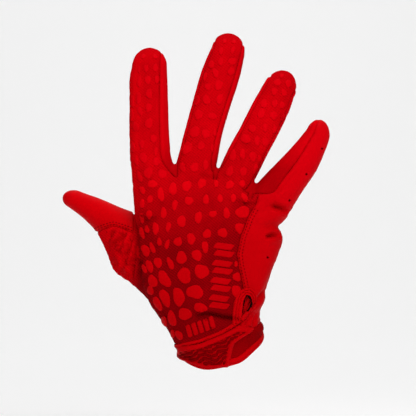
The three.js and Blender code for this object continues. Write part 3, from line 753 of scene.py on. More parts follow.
def waves(points: Array, size: float, seed: int) -> Array:
    """Smooth irregular waves.

    Args:
        points: An array of x, y and z.
        size: The length of the waves in millimetres.
        seed: Which set of waves.

    Returns:
        Heights of about -1 to 1.
    """
    random = np.random.default_rng(seed)
    total = np.zeros(len(points))
    for _ in range(WAVE_DIRECTIONS):
        direction = random.normal(size=3)
        direction *= 2 * math.pi / (size * random.uniform(0.7, 1.5)) / np.linalg.norm(direction)
        total += np.sin(points @ direction + random.uniform(0, 2 * math.pi))
    return total / math.sqrt(WAVE_DIRECTIONS) / WAVE_HEIGHT


# How far the strap draws the cuff in and up on the thumb's side, and how far the other side hangs higher
DRAWN_IN = 2.6
DRAWN_UP = 4.2
OTHER_SIDE_UP = 4.0
# Where the other side stands out: height, width and size of each bulge
BULGES = ((31, 6, 1.3), (13, 4, 1.2))


def drawn_up(points: Array) -> Array:
    """Draws the cuff in and up on the thumb's side, where the strap pulls it, and eases the other side out.

    Args:
        points: An array of x, y and z.

    Returns:
        The moved points.
    """
    x, z = points[:, 0], points[:, 2]
    left, right = ease((-6 - x) / 24), ease((x - 12) / 14)
    moved = points.copy()
    moved[:, 0] += DRAWN_IN * left * ease((24 - z) / 22)
    moved[:, 2] += DRAWN_UP * left * ease((6 - z) / 16)
    moved[:, 0] += right * sum(size * bell(z - at, width) for at, width, size in BULGES)
    moved[:, 2] += OTHER_SIDE_UP * right * ease((16 - z) / 16)
    return moved


def cut_along(work: Work, field: Field, snap: float = 0.12) -> None:
    """Cuts the faces of a mesh where a field changes sign.

    Args:
        work: The mesh, in millimetres.
        field: Gives a value for each point.
        snap: Below which value a point counts as on the cut.
    """
    work.verts.index_update()
    values = field(np.array([v.co for v in work.verts]))
    values[np.abs(values) < snap] = 0
    work.verts.ensure_lookup_table()
    zero = {work.verts[int(i)] for i in np.flatnonzero(values == 0)}
    edges = list(work.edges)
    ends = np.array([(e.verts[0].index, e.verts[1].index) for e in edges])
    for k in np.flatnonzero(values[ends[:, 0]] * values[ends[:, 1]] < 0):
        edge = edges[int(k)]
        start, end = edge.verts
        share = values[start.index] / (values[start.index] - values[end.index])
        zero.add(bmesh.utils.edge_split(edge, start, float(share))[1])
    for face in {f for v in zero for f in v.link_faces}:
        marks = [v for v in face.verts if v in zero]
        if len(marks) != 2 or len(face.verts) < 4:
            continue
        if any(set(marks) == set(edge.verts) for edge in face.edges):
            continue
        bmesh.utils.face_split(face, marks[0], marks[1])


def drop_faces(work: Work, unwanted: Field) -> None:
    """Deletes the faces of a mesh that a test picks by their middles.

    Args:
        work: The mesh, in millimetres.
        unwanted: Says for each middle whether its face goes.
    """
    centres = np.array([f.calc_center_median() for f in work.faces])
    gone = [f for f, hit in zip(list(work.faces), unwanted(centres)) if hit]
    bmesh.ops.delete(work, geom=gone, context="FACES")


@dataclass
class Skin:
    """The glove's whole surface, cut along its seams: points, faces and the panel of each face."""

    points: Array
    faces: list[tuple[int, ...]]
    panels: Array

    def tree(self) -> BVHTree:
        """A tree of the surface that still covers the vent, for laying things on."""
        return BVHTree.FromPolygons([Vector(p) for p in self.points], self.faces)


class SkinMaker:
    """Makes the body, cuts it along the seams and presses its folds."""

    voxel = 1.15
    # Each pass moves points in and back out again, so that the body keeps its size
    relax_passes = 8
    relax_in, relax_out = 0.55, -0.5
    # How far a direction may turn back and still belong to the back of the hand, and how softly that ends
    front_limit, front_fade = 0.45, 0.5
    # A crease fades towards its ends, and its swelling lies beside it
    fade_power, past_end_share = 0.6, 0.3
    swell_at, swell_width, far_side_share = 2.1, 1.3, 0.2
    # Sharp crumples, long sags, and the unevenness of cloth, more of it on the palm
    crumple_size, crumple_sharpness = 8.0, 1.6
    sag_size, sag_height = 22.0, 0.16
    cloth_size, cloth_height, palm_height = 8.0, 0.05, 0.1
    # Each seam's groove, the ridge beside it, and the puckers that the thread pulls
    seam_depth, seam_width = 0.85, 0.8
    ridge_height, ridge_at, ridge_width = 0.22, 2.2, 1.3
    pucker_height, pucker_reach, pucker_size = 0.14, 3.5, 5.0
    # The crumpled cloth beside the thumb, and the looser heel: where, how far it reaches, and how high
    gusset_at, gusset_reach, gusset_height = (-63, 62), 15.0, 1.1
    heel_at, heel_reach, heel_height = (-44, 24), 14.0, 0.24
    # Seams lie shallow round the fingertips and at one place on the index finger's edge
    shallow_at, shallow_reach, shallow_share = (-63, 131), 7.0, 0.85
    tip_clear, tip_fade, tip_least = 5.0, 9.0, 0.1

    def __init__(self) -> None:
        """Sets up the seams' regions."""
        self.regions = Regions()

    def body(self) -> bpy.types.Object:
        """Joins the hand and all digits into one closed and even mesh.

        Returns:
            The body, in metres.
        """
        tubes = []
        for i, loft in enumerate((HAND, INDEX, MIDDLE, RING, LITTLE, THUMB)):
            rings = loft.rings()
            count, sides, _ = rings.shape
            points = [*map(tuple, rings.reshape(-1, 3) * MM)]
            faces = []
            for r in range(count - 1):
                for k in range(sides):
                    a, b = r * sides + k, r * sides + (k + 1) % sides
                    faces.append((a, b, b + sides, a + sides))
            faces.append(tuple(range(sides))[::-1])
            faces.append(tuple(range((count - 1) * sides, count * sides)))
            mesh = bpy.data.meshes.new(f"tube_{i}")
            mesh.from_pydata(points, [], faces)
            tube = bpy.data.objects.new(mesh.name, mesh)
            bpy.context.scene.collection.objects.link(tube)
            tubes.append(tube)
        bpy.ops.object.select_all(action="DESELECT")
        for tube in tubes:
            tube.select_set(True)
        bpy.context.view_layer.objects.active = tubes[0]
        bpy.ops.object.join()
        body = tubes[0]
        body.data.remesh_voxel_size = self.voxel * MM
        body.data.remesh_voxel_adaptivity = 0
        bpy.ops.object.voxel_remesh()
        return body

    def relax(self, mesh: bpy.types.Mesh) -> None:
        """Softens the webs and the remesh's steps by moving points towards their neighbours.

        Args:
            mesh: The body's mesh.
        """
        points = np.empty(len(mesh.vertices) * 3)
        mesh.vertices.foreach_get("co", points)
        points = points.reshape(-1, 3)
        edges = np.empty(len(mesh.edges) * 2, int)
        mesh.edges.foreach_get("vertices", edges)
        a, b = edges.reshape(-1, 2).T
        degree = np.bincount(np.concatenate([a, b]), minlength=len(points))[:, None]
        for factor in (self.relax_in, self.relax_out) * self.relax_passes:
            total = np.zeros_like(points)
            np.add.at(total, a, points[b])
            np.add.at(total, b, points[a])
            points = points + factor * (total / degree - points)
        mesh.vertices.foreach_set("co", points.ravel())
        mesh.update()

    def classify(self, centres: Array) -> Array:
        """The panel that each face belongs to.

        Args:
            centres: The faces' middles.

        Returns:
            For each face, its panel's number in the order of Panel.
        """
        regions = self.regions
        order = list(Panel)
        front = regions.front(centres) > 0
        side = front & (regions.side(centres) > 0)
        panels = np.full(len(centres), order.index(Panel.PALM))
        panels[front] = order.index(Panel.BACK)
        panels[side] = order.index(Panel.SIDE)
        panels[regions.thumb(centres) > 0] = order.index(Panel.THUMB)
        for panel in (Panel.STRIP_INDEX, Panel.STRIP_MIDDLE, Panel.STRIP_RING):
            panels[regions.strips(centres, panel.value) > 0] = order.index(panel)
        panels[regions.cuff(centres) > 0] = order.index(Panel.CUFF)
        panels[regions.mouth(centres) < 0] = order.index(Panel.WASTE)
        return panels

    def creased(self, flat: Array, faces_front: Array) -> Array:
        """The heights that the creases press into the skin.

        Args:
            flat: The skin's points, seen from the back of the hand.
            faces_front: How far each point belongs to the back of the hand, from 0 to 1.

        Returns:
            A height for each point.
        """
        height = np.zeros(len(flat))
        for crease in CREASES:
            distance, share = along_line(flat, crease.line)
            fade = np.sin(np.pi * np.clip(share, 0.02, 0.98)) ** self.fade_power
            ends = np.where((share <= 0) | (share >= 1), self.past_end_share, 1.0)
            groove = bell(distance, crease.width)
            beside = bell(distance - self.swell_at * crease.width, self.swell_width * crease.width)
            if crease.side:
                first, last = area_of(crease.line)[[0, -1]]
                way = last - first
                left = way[0] * (flat[:, 1] - first[1]) - way[1] * (flat[:, 0] - first[0])
                beside = np.where(left * crease.side > 0, beside, beside * self.far_side_share)
            seen = 1 - faces_front if crease.behind else faces_front
            height += seen * fade * ends * (crease.swell * beside - crease.depth * groove)
        return height

    def press(self, points: Array, normals: Array, seams: Array) -> Array:
        """Presses folds, wrinkles and seams into the skin.

        Args:
            points: The smooth skin's points.
            normals: Their directions outwards.
            seams: The indices of the points that lie on a seam.

        Returns:
            The pressed points.
        """
        flat = points[:, [0, 2]]
        faces_front = np.clip((self.front_limit - normals[:, 1]) / self.front_fade, 0, 1)
        height = self.creased(flat, faces_front)
        wrinkles = 1 - self.crumple_sharpness * np.abs(waves(points, self.crumple_size, 5))
        gusset = self.gusset_height * near(flat, self.gusset_at, self.gusset_reach)
        heel = self.heel_height * near(flat, self.heel_at, self.heel_reach)
        height += np.maximum(gusset, heel) * wrinkles
        uneven = self.cloth_height + self.palm_height * (1 - faces_front)
        sags = self.sag_height * waves(points, self.sag_size, 2)
        height += sags + uneven * waves(points, self.cloth_size, 3)
        tree = KDTree(len(seams))
        for k, i in enumerate(seams):
            tree.insert(points[i], k)
        tree.balance()
        distance = np.array([tree.find(p)[2] for p in points])
        to_tip = np.min([np.linalg.norm(points - np.array(loft.tip), axis=1) for loft in FINGERS], axis=0)
        shallow = np.clip((to_tip - self.tip_clear) / self.tip_fade, self.tip_least, 1)
        shallow *= 1 - self.shallow_share * near(flat, self.shallow_at, self.shallow_reach)
        height -= self.seam_depth * shallow * bell(distance, self.seam_width)
        height += self.ridge_height * bell(distance - self.ridge_at, self.ridge_width)
        height += self.pucker_height * bell(distance, self.pucker_reach) * waves(points, self.pucker_size, 7)
        return points + normals * height[:, None]

    def make(self) -> Skin:
        """Makes the finished surface.

        Returns:
            The pressed skin with its panels.
        """
        body = self.body()
        self.relax(body.data)
        body.data.transform(TO_MM)
        work = bmesh.new()
        work.from_mesh(body.data)
        bpy.data.objects.remove(body)
        regions = self.regions
        fields = (regions.mouth, regions.cuff, regions.strips, regions.front, regions.side, regions.thumb)
        for field in fields:
            cut_along(work, field)
        work.normal_update()
        work.verts.index_update()
        work.faces.ensure_lookup_table()
        centres = np.array([f.calc_center_median() for f in work.faces])
        panels = self.classify(centres)
        faces = [tuple(v.index for v in f.verts) for f in work.faces]
        points = np.array([v.co for v in work.verts])
        normals = np.array([v.normal for v in work.verts])
        work.free()
        low, high = np.full(len(points), 99), np.full(len(points), -1)
        for face, panel in zip(faces, panels):
            for i in face:
                low[i], high[i] = min(low[i], panel), max(high[i], panel)
        waste = list(Panel).index(Panel.WASTE)
        seams = np.flatnonzero((low != high) & (high != waste))
        pressed = drawn_up(self.press(points, normals, seams))
        LOG.info("skin: %d points, %d faces, %d on seams", len(points), len(faces), len(seams))
        return Skin(pressed, faces, panels)


def linear(code: str) -> tuple[float, float, float, float]:
    """The linear colour of an sRGB hex code."""
    channels = [int(code[i:i + 2], 16) / 255 for i in (0, 2, 4)]
    return (*[c / 12.92 if c <= 0.04045 else ((c + 0.055) / 1.055) ** 2.4 for c in channels], 1.0)


def add_node(
    tree: Tree,
    kind: str,
    settings: dict[str, object] | None = None,
    links: dict[str, Socket] | None = None,
    **values: object,
) -> bpy.types.Node:
    """Adds a node to a material.

    Args:
        tree: The material's node tree.
        kind: The shader node's type.
        settings: The node's own properties.
        links: Sockets to link, by the name of the input.
        **values: Values of inputs, by name with spaces as underscores.

    Returns:
        The new node.
    """
    node = tree.nodes.new("ShaderNode" + kind)
    for name, value in (settings or {}).items():
        setattr(node, name, value)
    for name, value in values.items():
        node.inputs[name.replace("_", " ")].default_value = value
    for name, socket in (links or {}).items():
        tree.links.new(socket, node.inputs[int(name) if name.isdigit() else name])
    return node


def wave_scale(spacing_mm: float) -> float:
    """The scale at which a wave texture's bands lie this far apart."""
    return 2 * math.pi / (20 * spacing_mm * MM)


@dataclass(frozen=True)
class Finish:
    """A finish: its two tones, how rough it is, and how strongly its surface stands in relief."""

    name: str
    color: str
    # The dark tone serves the clouds of dye and the painted shade
    dark: str
    roughness: float
    ior: float = 1.5
    specular: float = 0.25
    relief_mm: float = 0.1
    grain_mm: float = 1.0
    # Painted shade, darker towards the lower end
    # The heights where the cloth starts to darken and where it is darkest, and its share of the dark there
    dark_below: float = 0.14
    darkest_at: float = 0.05
    dark_share: float = 0.7
    # Clouds of dye, about 18 mm across
    cloud_scale: float = 55.0
    cloud_share: float = 0.3

    def height(self, tree: Tree, place: Socket) -> Socket:
        """The surface's relief: an even fine grain unless a finish says otherwise.

        Args:
            tree: The material's node tree.
            place: The socket that gives places on the object.

        Returns:
            The socket that gives the relief.
        """
        scale = 1 / (self.grain_mm * MM)
        grain = add_node(tree, "TexNoise", {}, {"Vector": place}, Scale=scale, Detail=3.0)
        return grain.outputs["Fac"]

    def shade(self, tree: Tree, place: Socket, height: Socket) -> Socket:
        """How dark the surface is: soft clouds of dye, and painted shade towards its lower end.

        Args:
            tree: The material's node tree.
            place: The socket that gives places on the object.
            height: The socket that gives the relief; not used here.

        Returns:
            The socket that gives the share of the dark tone.
        """
        clouds = add_node(tree, "TexNoise", {}, {"Vector": place}, Scale=self.cloud_scale, Detail=4.0)
        ramp = add_node(tree, "MapRange", {}, {"Value": clouds.outputs["Fac"]},
                        From_Min=0.3, From_Max=0.7, To_Max=self.cloud_share)
        axes = add_node(tree, "SeparateXYZ", {}, {"Vector": place})
        # Painted shade: darker towards the lower end
        painted_shade = add_node(tree, "MapRange", {"interpolation_type": "SMOOTHSTEP"},
                         {"Value": axes.outputs["Z"]}, From_Min=self.dark_below, From_Max=self.darkest_at,
                         To_Max=self.dark_share)
        total = add_node(tree, "Math", {"operation": "ADD"},
                         {"0": ramp.outputs["Result"], "1": painted_shade.outputs["Result"]})
        return total.outputs["Value"]

    def make(self) -> bpy.types.Material:
        """Builds the material.

        Returns:
            The new material.
        """
        material = bpy.data.materials.new(self.name)
        material.use_nodes = True
        tree = material.node_tree
        tree.nodes.clear()
        place = add_node(tree, "TexCoord").outputs["Object"]
        height = self.height(tree, place)
        shade = self.shade(tree, place, height)
        color = add_node(tree, "Mix", {"data_type": "RGBA"}, {"Factor": shade})
        color.inputs[6].default_value = linear(self.color)
        color.inputs[7].default_value = linear(self.dark)
        relief = self.relief_mm * MM
        bump = add_node(tree, "Bump", {}, {"Height": height}, Strength=1.0, Distance=relief)
        surface = add_node(
            tree, "BsdfPrincipled", {}, {"Base Color": color.outputs[2], "Normal": bump.outputs["Normal"]},
            Roughness=self.roughness, IOR=self.ior, Specular_IOR_Level=self.specular,
        )
        # Dyed through: what little the surface mirrors is red too
        surface.inputs["Specular Tint"].default_value = (1.0, 0.02, 0.03, 1.0)
        add_node(tree, "OutputMaterial", {}, {"Surface": surface.outputs["BSDF"]})
        return material


@dataclass(frozen=True)
class Knit(Finish):
    """Ribbed stretch knit: fine slanting rows of loops, with painted shade as dark lines between them.

    Painted light makes it paler past pale_from towards the thumb, and palest at palest_at, both places across
    the object.
    """

    row_mm: float = 1.5
    slant_degrees: float = 52.0
    loop_scale: float = 0.8
    loop_share: float = 0.4
    # How dark the painted shade in the grooves between rows gets
    line_share: float = 0.3
    pale_from: float = -0.053
    palest_at: float = -0.065
    pale_share: float = 0.75

    def height(self, tree: Tree, place: Socket) -> Socket:
        """Slanting ribs, broken into loops.

        Args:
            tree: The material's node tree.
            place: The socket that gives places on the object.

        Returns:
            The socket that gives the relief.
        """
        turned = add_node(tree, "Mapping", {}, {"Vector": place})
        turned.inputs["Rotation"].default_value = (0, math.radians(self.slant_degrees), 0)
        scale = wave_scale(self.row_mm)
        across = {"Vector": turned.outputs["Vector"]}
        rows = add_node(tree, "TexWave", {"bands_direction": "X"}, across,
                        Scale=scale, Distortion=0.6, Detail=1.0)
        loops = add_node(tree, "TexWave", {"bands_direction": "Z"}, across,
                         Scale=scale * self.loop_scale, Distortion=0.4, Detail=1.0)
        both = add_node(tree, "Math", {"operation": "MULTIPLY_ADD"},
                        {"0": loops.outputs["Fac"], "2": rows.outputs["Fac"]})
        both.inputs[1].default_value = self.loop_share
        return both.outputs["Value"]

    def shade(self, tree: Tree, place: Socket, height: Socket) -> Socket:
        """Painted shade between the rows as well, and painted light that pales it towards the thumb.

        Args:
            tree: The material's node tree.
            place: The socket that gives places on the object.
            height: The socket that gives the relief.

        Returns:
            The socket that gives the share of the dark tone.
        """
        cloth = super().shade(tree, place, height)
        lines = add_node(tree, "MapRange", {}, {"Value": height},
                         From_Min=1.2, From_Max=0.1, To_Max=self.line_share)
        total = add_node(tree, "Math", {"operation": "ADD"},
                         {"0": cloth, "1": lines.outputs["Result"]})
        # Painted light: paler towards the thumb
        axes = add_node(tree, "SeparateXYZ", {}, {"Vector": place})
        painted_light = add_node(tree, "MapRange", {"interpolation_type": "SMOOTHSTEP"},
                        {"Value": axes.outputs["X"]}, From_Min=self.pale_from, From_Max=self.palest_at,
                        To_Max=self.pale_share)
        shade_with_painted_light = add_node(tree, "Math", {"operation": "SUBTRACT"},
                        {"0": total.outputs["Value"], "1": painted_light.outputs["Result"]})
        return shade_with_painted_light.outputs["Value"]


@dataclass(frozen=True)
class Ribbed(Finish):
    """Woven elastic: fine cords round the wrist."""

    cord_mm: float = 1.4
    turn_degrees: tuple[float, float] = (-28.0, -10.0)

    def height(self, tree: Tree, place: Socket) -> Socket:
        """Cords that follow the slant of the mouth.

        Args:
            tree: The material's node tree.
            place: The socket that gives places on the object.

        Returns:
            The socket that gives the relief.
        """
        turned = add_node(tree, "Mapping", {}, {"Vector": place})
        turned.inputs["Rotation"].default_value = (*map(math.radians, self.turn_degrees), 0)
        cords = add_node(tree, "TexWave", {"bands_direction": "Z"},
                         {"Vector": turned.outputs["Vector"]}, Scale=wave_scale(self.cord_mm),
                         Distortion=0.3, Detail=1.0)
        return cords.outputs["Fac"]


class Slot(Enum):
    """The record's material slots."""

    STRETCH = "stretch_fabric"
    SMOOTH = "smooth_fabric"
    GRIP = "grip_skin"
    ELASTIC = "elastic"
    BINDING = "binding"
    MOULDING = "moulding"


# Each finish's dark tone serves its clouds of dye and the painted shade towards its lower end
FINISHES: dict[str, Finish] = {
    finish.name: finish
    for finish in (
        # Nylon and elastane jersey, dyed dark: matt, its rows just showing, drawn coarser than real.
        Knit("nylon_elastane_rib_knit", "cc000a", "760005", 0.95, specular=0.02, relief_mm=0.12),
        # Jersey with a thin polyurethane film: even, a soft satin glow, and no weave to see.
        Finish("polyurethane_coated_jersey", "c6000b", "b00006", 0.6, specular=0.05, relief_mm=0.03,
               grain_mm=0.9),
        # The same jersey left uncoated on the side strips: softer, with painted shade down in the webs.
        Finish("brushed_elastane_jersey", "ca000b", "8e0005", 0.8, specular=0.02, relief_mm=0.04,
               grain_mm=0.5, dark_below=0.145, darkest_at=0.12, dark_share=0.55),
        # Silicone-coated synthetic leather: smooth and slightly tacky, a broad dull shine.
        Finish("silicone_coated_synthetic_leather", "d20009", "b60006", 0.55, ior=1.43, specular=0.06,
               relief_mm=0.04, grain_mm=1.1),
        # Screen-printed silicone, cured thick: rounded drops, a shade clearer than the cloth.
        Finish("printed_silicone", "d6000c", "b00006", 0.6, ior=1.41, specular=0.05, relief_mm=0.02,
               grain_mm=1.4),
        # The same silicone in a thin coat, on the digits and the pads: the cloth's red shows through.
        Finish("thin_printed_silicone", "ca000c", "ac0006", 0.65, ior=1.41, specular=0.03, relief_mm=0.02,
               grain_mm=1.4),
        # Woven polyester and rubber elastic: matt cords, darker in their grooves.
        Ribbed("woven_elastic", "a80006", "820004", 0.9, specular=0.02, relief_mm=0.1),
        # Folded polyester tape: close, matt and firm.
        Finish("folded_polyester_tape", "cc0009", "b40006", 0.7, specular=0.04, relief_mm=0.05, grain_mm=0.6),
        # Moulded thermoplastic rubber: even and satin.
        Finish("moulded_thermoplastic_rubber", "8e0004", "720003", 0.6, ior=1.49, specular=0.01,
               relief_mm=0.02, grain_mm=0.8),
        # Spun polyester sewing thread: matt, a shade darker than the cloth.
        Finish("spun_polyester_thread", "8a0005", "700004", 0.8, specular=0.1, relief_mm=0.02, grain_mm=0.3),
        # The same thread in near black, on the vent's edge, and as painted shadow along its left side.
        Finish("black_thread_and_painted_shadow", "1a0404", "0c0202", 0.8, specular=0.1, relief_mm=0.02, grain_mm=0.3),
    )
}


class Piece:
    """Finishes meshes into the glove's pieces."""

    materials: dict[str, bpy.types.Material] = {}
    made: list[bpy.types.Object] = []

    @classmethod
    def material(cls, finish: str) -> bpy.types.Material:
        """The material of a finish, made once.

        Args:
            finish: The finish's name.

        Returns:
            Its material.
        """
        if finish not in cls.materials:
            cls.materials[finish] = FINISHES[finish].make()
        return cls.materials[finish]

    @classmethod
    def finish(
        cls, name: str, mesh: bpy.types.Mesh, finish: str, slot: Slot, replaces: Sequence[str] = ()
    ) -> bpy.types.Object:
        """Makes an object of a mesh and dresses it.

        Args:
            name: The piece's name.
            mesh: Its mesh, in metres.
            finish: The name of its finish.
            slot: The record's slot for it; not used.
            replaces: The solids that it stands for.

        Returns:
            The finished piece.
        """
        mesh.name = name
        mesh.shade_smooth()
        piece = bpy.data.objects.new(name, mesh)
        bpy.context.scene.collection.objects.link(piece)
        piece.data.materials.clear()
        piece.data.materials.append(cls.material(finish))
        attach(piece, "root")
        for node in replaces:
            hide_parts(node)
        cls.made.append(piece)
        return piece


def apply_modifier(piece: bpy.types.Object, kind: str, **settings: object) -> None:
    """Adds a modifier with its settings and applies it.

    Args:
        piece: What it is added to.
        kind: The modifier's type.
        **settings: Its properties.
    """
    bpy.ops.object.select_all(action="DESELECT")
    piece.select_set(True)
    bpy.context.view_layer.objects.active = piece
    modifier = piece.modifiers.new(kind.lower(), kind)
    for name, value in settings.items():
        setattr(modifier, name, value)
    bpy.ops.object.modifier_apply(modifier=modifier.name)


def mesh_of(points: Array, faces: Sequence[Sequence[int]]) -> bpy.types.Mesh:
    """Makes a mesh in metres.

    Args:
        points: Its points in millimetres.
        faces: The numbers of each face's points.

    Returns:
        The new mesh.
    """
    mesh = bpy.data.meshes.new("piece")
    mesh.from_pydata([tuple(p) for p in np.asarray(points) * MM], [], [tuple(f) for f in faces])
    mesh.validate()
    mesh.update()
    return mesh


AIR_HOLES: Outline = ((71.6, 139.4), (60.4, 121.5), (48.6, 103.2), (33.2, 63.4))


@dataclass
class Panels:
    """The sewn panels, each a thin shell cut from the skin."""

    wall: float = 1.1
    hole_radius: float = 0.85
    hole_surround: float = 2.2
    hole_snap: float = 0.03
    # Holes go through the back of the hand alone, in front of this depth
    hole_to_y: float = 8.0
    outside_holes: float = 9.0

    FINISH = {
        Panel.BACK: ("knit_back", "nylon_elastane_rib_knit", Slot.STRETCH),
        Panel.SIDE: ("smooth_side", "polyurethane_coated_jersey", Slot.SMOOTH),
        Panel.PALM: ("grip_palm", "silicone_coated_synthetic_leather", Slot.GRIP),
        Panel.THUMB: ("grip_thumb", "silicone_coated_synthetic_leather", Slot.GRIP),
        Panel.STRIP_INDEX: ("strip_index_middle", "brushed_elastane_jersey", Slot.SMOOTH),
        Panel.STRIP_MIDDLE: ("strip_middle_ring", "brushed_elastane_jersey", Slot.SMOOTH),
        Panel.STRIP_RING: ("strip_ring_little", "brushed_elastane_jersey", Slot.SMOOTH),
        Panel.CUFF: ("elastic_cuff", "woven_elastic", Slot.ELASTIC),
    }

    def punch(self, work: Work, centre: Point) -> None:
        """Punches a round hole.

        Args:
            work: The panel, in millimetres.
            centre: The hole's x and z.
        """
        middle = np.array(centre)

        def away(points: Array) -> Array:
            """Distances from the hole's middle."""
            return np.linalg.norm(points[:, [0, 2]] - middle, axis=1)

        def field(points: Array) -> Array:
            """Negative in the hole."""
            inside = away(points) - self.hole_radius
            return np.where(points[:, 1] < self.hole_to_y, inside, self.outside_holes)

        for _ in range(2):
            middles = np.array([(e.verts[0].co + e.verts[1].co) / 2 for e in work.edges])
            close = [e for e, hit in zip(list(work.edges), away(middles) < self.hole_surround) if hit]
            bmesh.ops.subdivide_edges(work, edges=close, cuts=1, use_grid_fill=True)
        cut_along(work, field, self.hole_snap)
        drop_faces(work, lambda centres: field(centres) < 0)

    def build(self, skin: Skin) -> None:
        """Makes every panel.

        Args:
            skin: The pressed surface.
        """
        regions = Regions()
        order = list(Panel)
        for panel, (name, finish, slot) in self.FINISH.items():
            chosen = [f for f, p in zip(skin.faces, skin.panels) if order[p] is panel]
            used = sorted({i for f in chosen for i in f})
            place = {old: new for new, old in enumerate(used)}
            work = bmesh.new()
            mesh = mesh_of(skin.points[used], [[place[i] for i in f] for f in chosen])
            mesh.transform(TO_MM)
            work.from_mesh(mesh)
            if panel in (Panel.BACK, Panel.CUFF, Panel.SIDE):
                cut_along(work, regions.vent)
                drop_faces(work, lambda centres: regions.vent(centres) > 0)
            if panel is Panel.SIDE:
                for centre in AIR_HOLES:
                    self.punch(work, centre)
            work.to_mesh(mesh)
            work.free()
            mesh.transform(TO_METRES)
            piece = Piece.finish(name, mesh, finish, slot, [panel.value])
            apply_modifier(piece, "SOLIDIFY", thickness=self.wall * MM, offset=-1, use_rim=True)


# Spots on the back of the hand: x, z, width, height and lean. A lean above nought turns tops to the thumb.
HAND_SPOTS: tuple[Spot, ...] = (
    # Along the knuckles
    (-47.1, 114.7, 6.9, 5.6, -20), (-32.9, 111.3, 5.4, 9.2, -8), (-23.2, 113.3, 7, 7, -30),
    (-12.8, 115, 5.6, 7.2, -20), (-2.8, 115.2, 3.2, 5.8, 0), (6.7, 114.1, 7, 5.2, 30),
    (15.4, 114.9, 4, 5.4, -10), (-54, 110.4, 3.8, 5.4, 20), (-48.8, 104.1, 4, 5.4, 0),
    (-41.3, 107.4, 4.6, 10.2, 4), (-31.5, 100.1, 4.2, 7.2, -8), (-21.8, 103, 6, 6.2, 0),
    (-9.8, 103.8, 4.6, 6.6, -10), (0, 104.6, 4, 5.6, 16), (9.2, 104.8, 3.6, 6.2, -8),
    (17, 105.3, 4, 6.4, 30),
    # The middle of the back
    (-54.2, 101, 3.2, 6.8, 0), (-49.3, 93.5, 4.2, 6, -10), (-54.4, 91, 3.2, 7, 10),
    (-39.3, 94.6, 4, 8.6, 0), (-26.8, 88.7, 6.6, 7.8, -10), (-15.1, 91.4, 5.2, 8.4, 0),
    (-5, 93.8, 5.4, 4.8, 30), (4.5, 94.3, 5, 7.4, 8), (15.6, 95.1, 9.4, 8.8, 0), (14.5, 83.7, 9, 7.2, -10),
    (-44.9, 83.7, 4.6, 8.6, 8), (-50.9, 83.2, 3.2, 5.8, 10), (-54.4, 80.6, 3.4, 8.2, 14),
    (-36, 84.9, 3.6, 7.2, -8), (-42.2, 74.3, 3.2, 5.8, 0), (-36.8, 72.7, 3.4, 6.6, -14),
    (-29.3, 74.5, 5.8, 6.6, 20), (-20.1, 76.5, 6.2, 7.8, 0), (-9.1, 80, 6, 6.4, -10),
    (1.7, 80.7, 6.8, 6.8, 0), (-10.4, 70.8, 5, 8, 6),
    # Towards the thumb and the wrist, the larger ones
    (-51.9, 68.3, 5.4, 9, 28), (-47.1, 70.2, 3.4, 8, 18), (-57.1, 66.9, 3.4, 8.6, 14),
    (-43.2, 60, 5.4, 8, 16), (-34.6, 59.4, 4.4, 8.8, 20), (-26.8, 63.5, 7.4, 9, 22),
    (-16.2, 65.2, 6.8, 8.2, 8), (-49.1, 57.5, 5, 8.6, 22), (-52.6, 55.5, 2.8, 7, 24),
    (-38.7, 48.6, 7.4, 12.6, 26), (-24.8, 51, 9.6, 11, 30), (-12.9, 53.9, 9.6, 10.6, 12),
    (-46.9, 47, 6.8, 8.4, 20), (-48.5, 40.6, 4.2, 7, 20), (-38.3, 35.4, 6.4, 13.2, 18),
    (-28.8, 36.3, 8.4, 12.6, 16), (-17.5, 39.7, 11.4, 10, -10), (-43.5, 31.5, 4.8, 10.4, 26),
    (-13.7, 28.9, 9.4, 6.4, -20), (-24.5, 24.3, 9, 9, 16), (-33.5, 21.1, 6, 10.6, 16),
    (-39, 19, 3.4, 8, 20), (-28.6, 9.4, 4.6, 7.4, 30), (-33, 10, 3, 6, 12),
    # Beside the line of pads
    (11.7, 50.1, 5.8, 6.6, 0), (11.4, 39.9, 6.8, 9, 10), (11.2, 59.1, 2.8, 4.2, 0),
)

# Spots between the thumb and the hand: x, z, width, height and lean.
THUMB_SPOTS: tuple[Spot, ...] = (
    (-75.3, 80.1, 3.4, 6.4, 0), (-69.4, 81.4, 3, 3.4, 0), (-71.4, 70.6, 4.4, 5.4, 10),
    (-65.8, 70.4, 4, 7.2, 10), (-76.2, 73.4, 3, 5.6, 0), (-73.1, 61.4, 4.4, 6.4, 10),
    (-63.6, 62.4, 3.4, 3.6, 0), (-67.4, 53.4, 4.4, 5.4, 20), (-62.2, 50.6, 3.8, 5.6, 20),
    (-61.8, 77.2, 3, 5.2, 0), (-60.6, 68, 2.8, 5, 10),
)

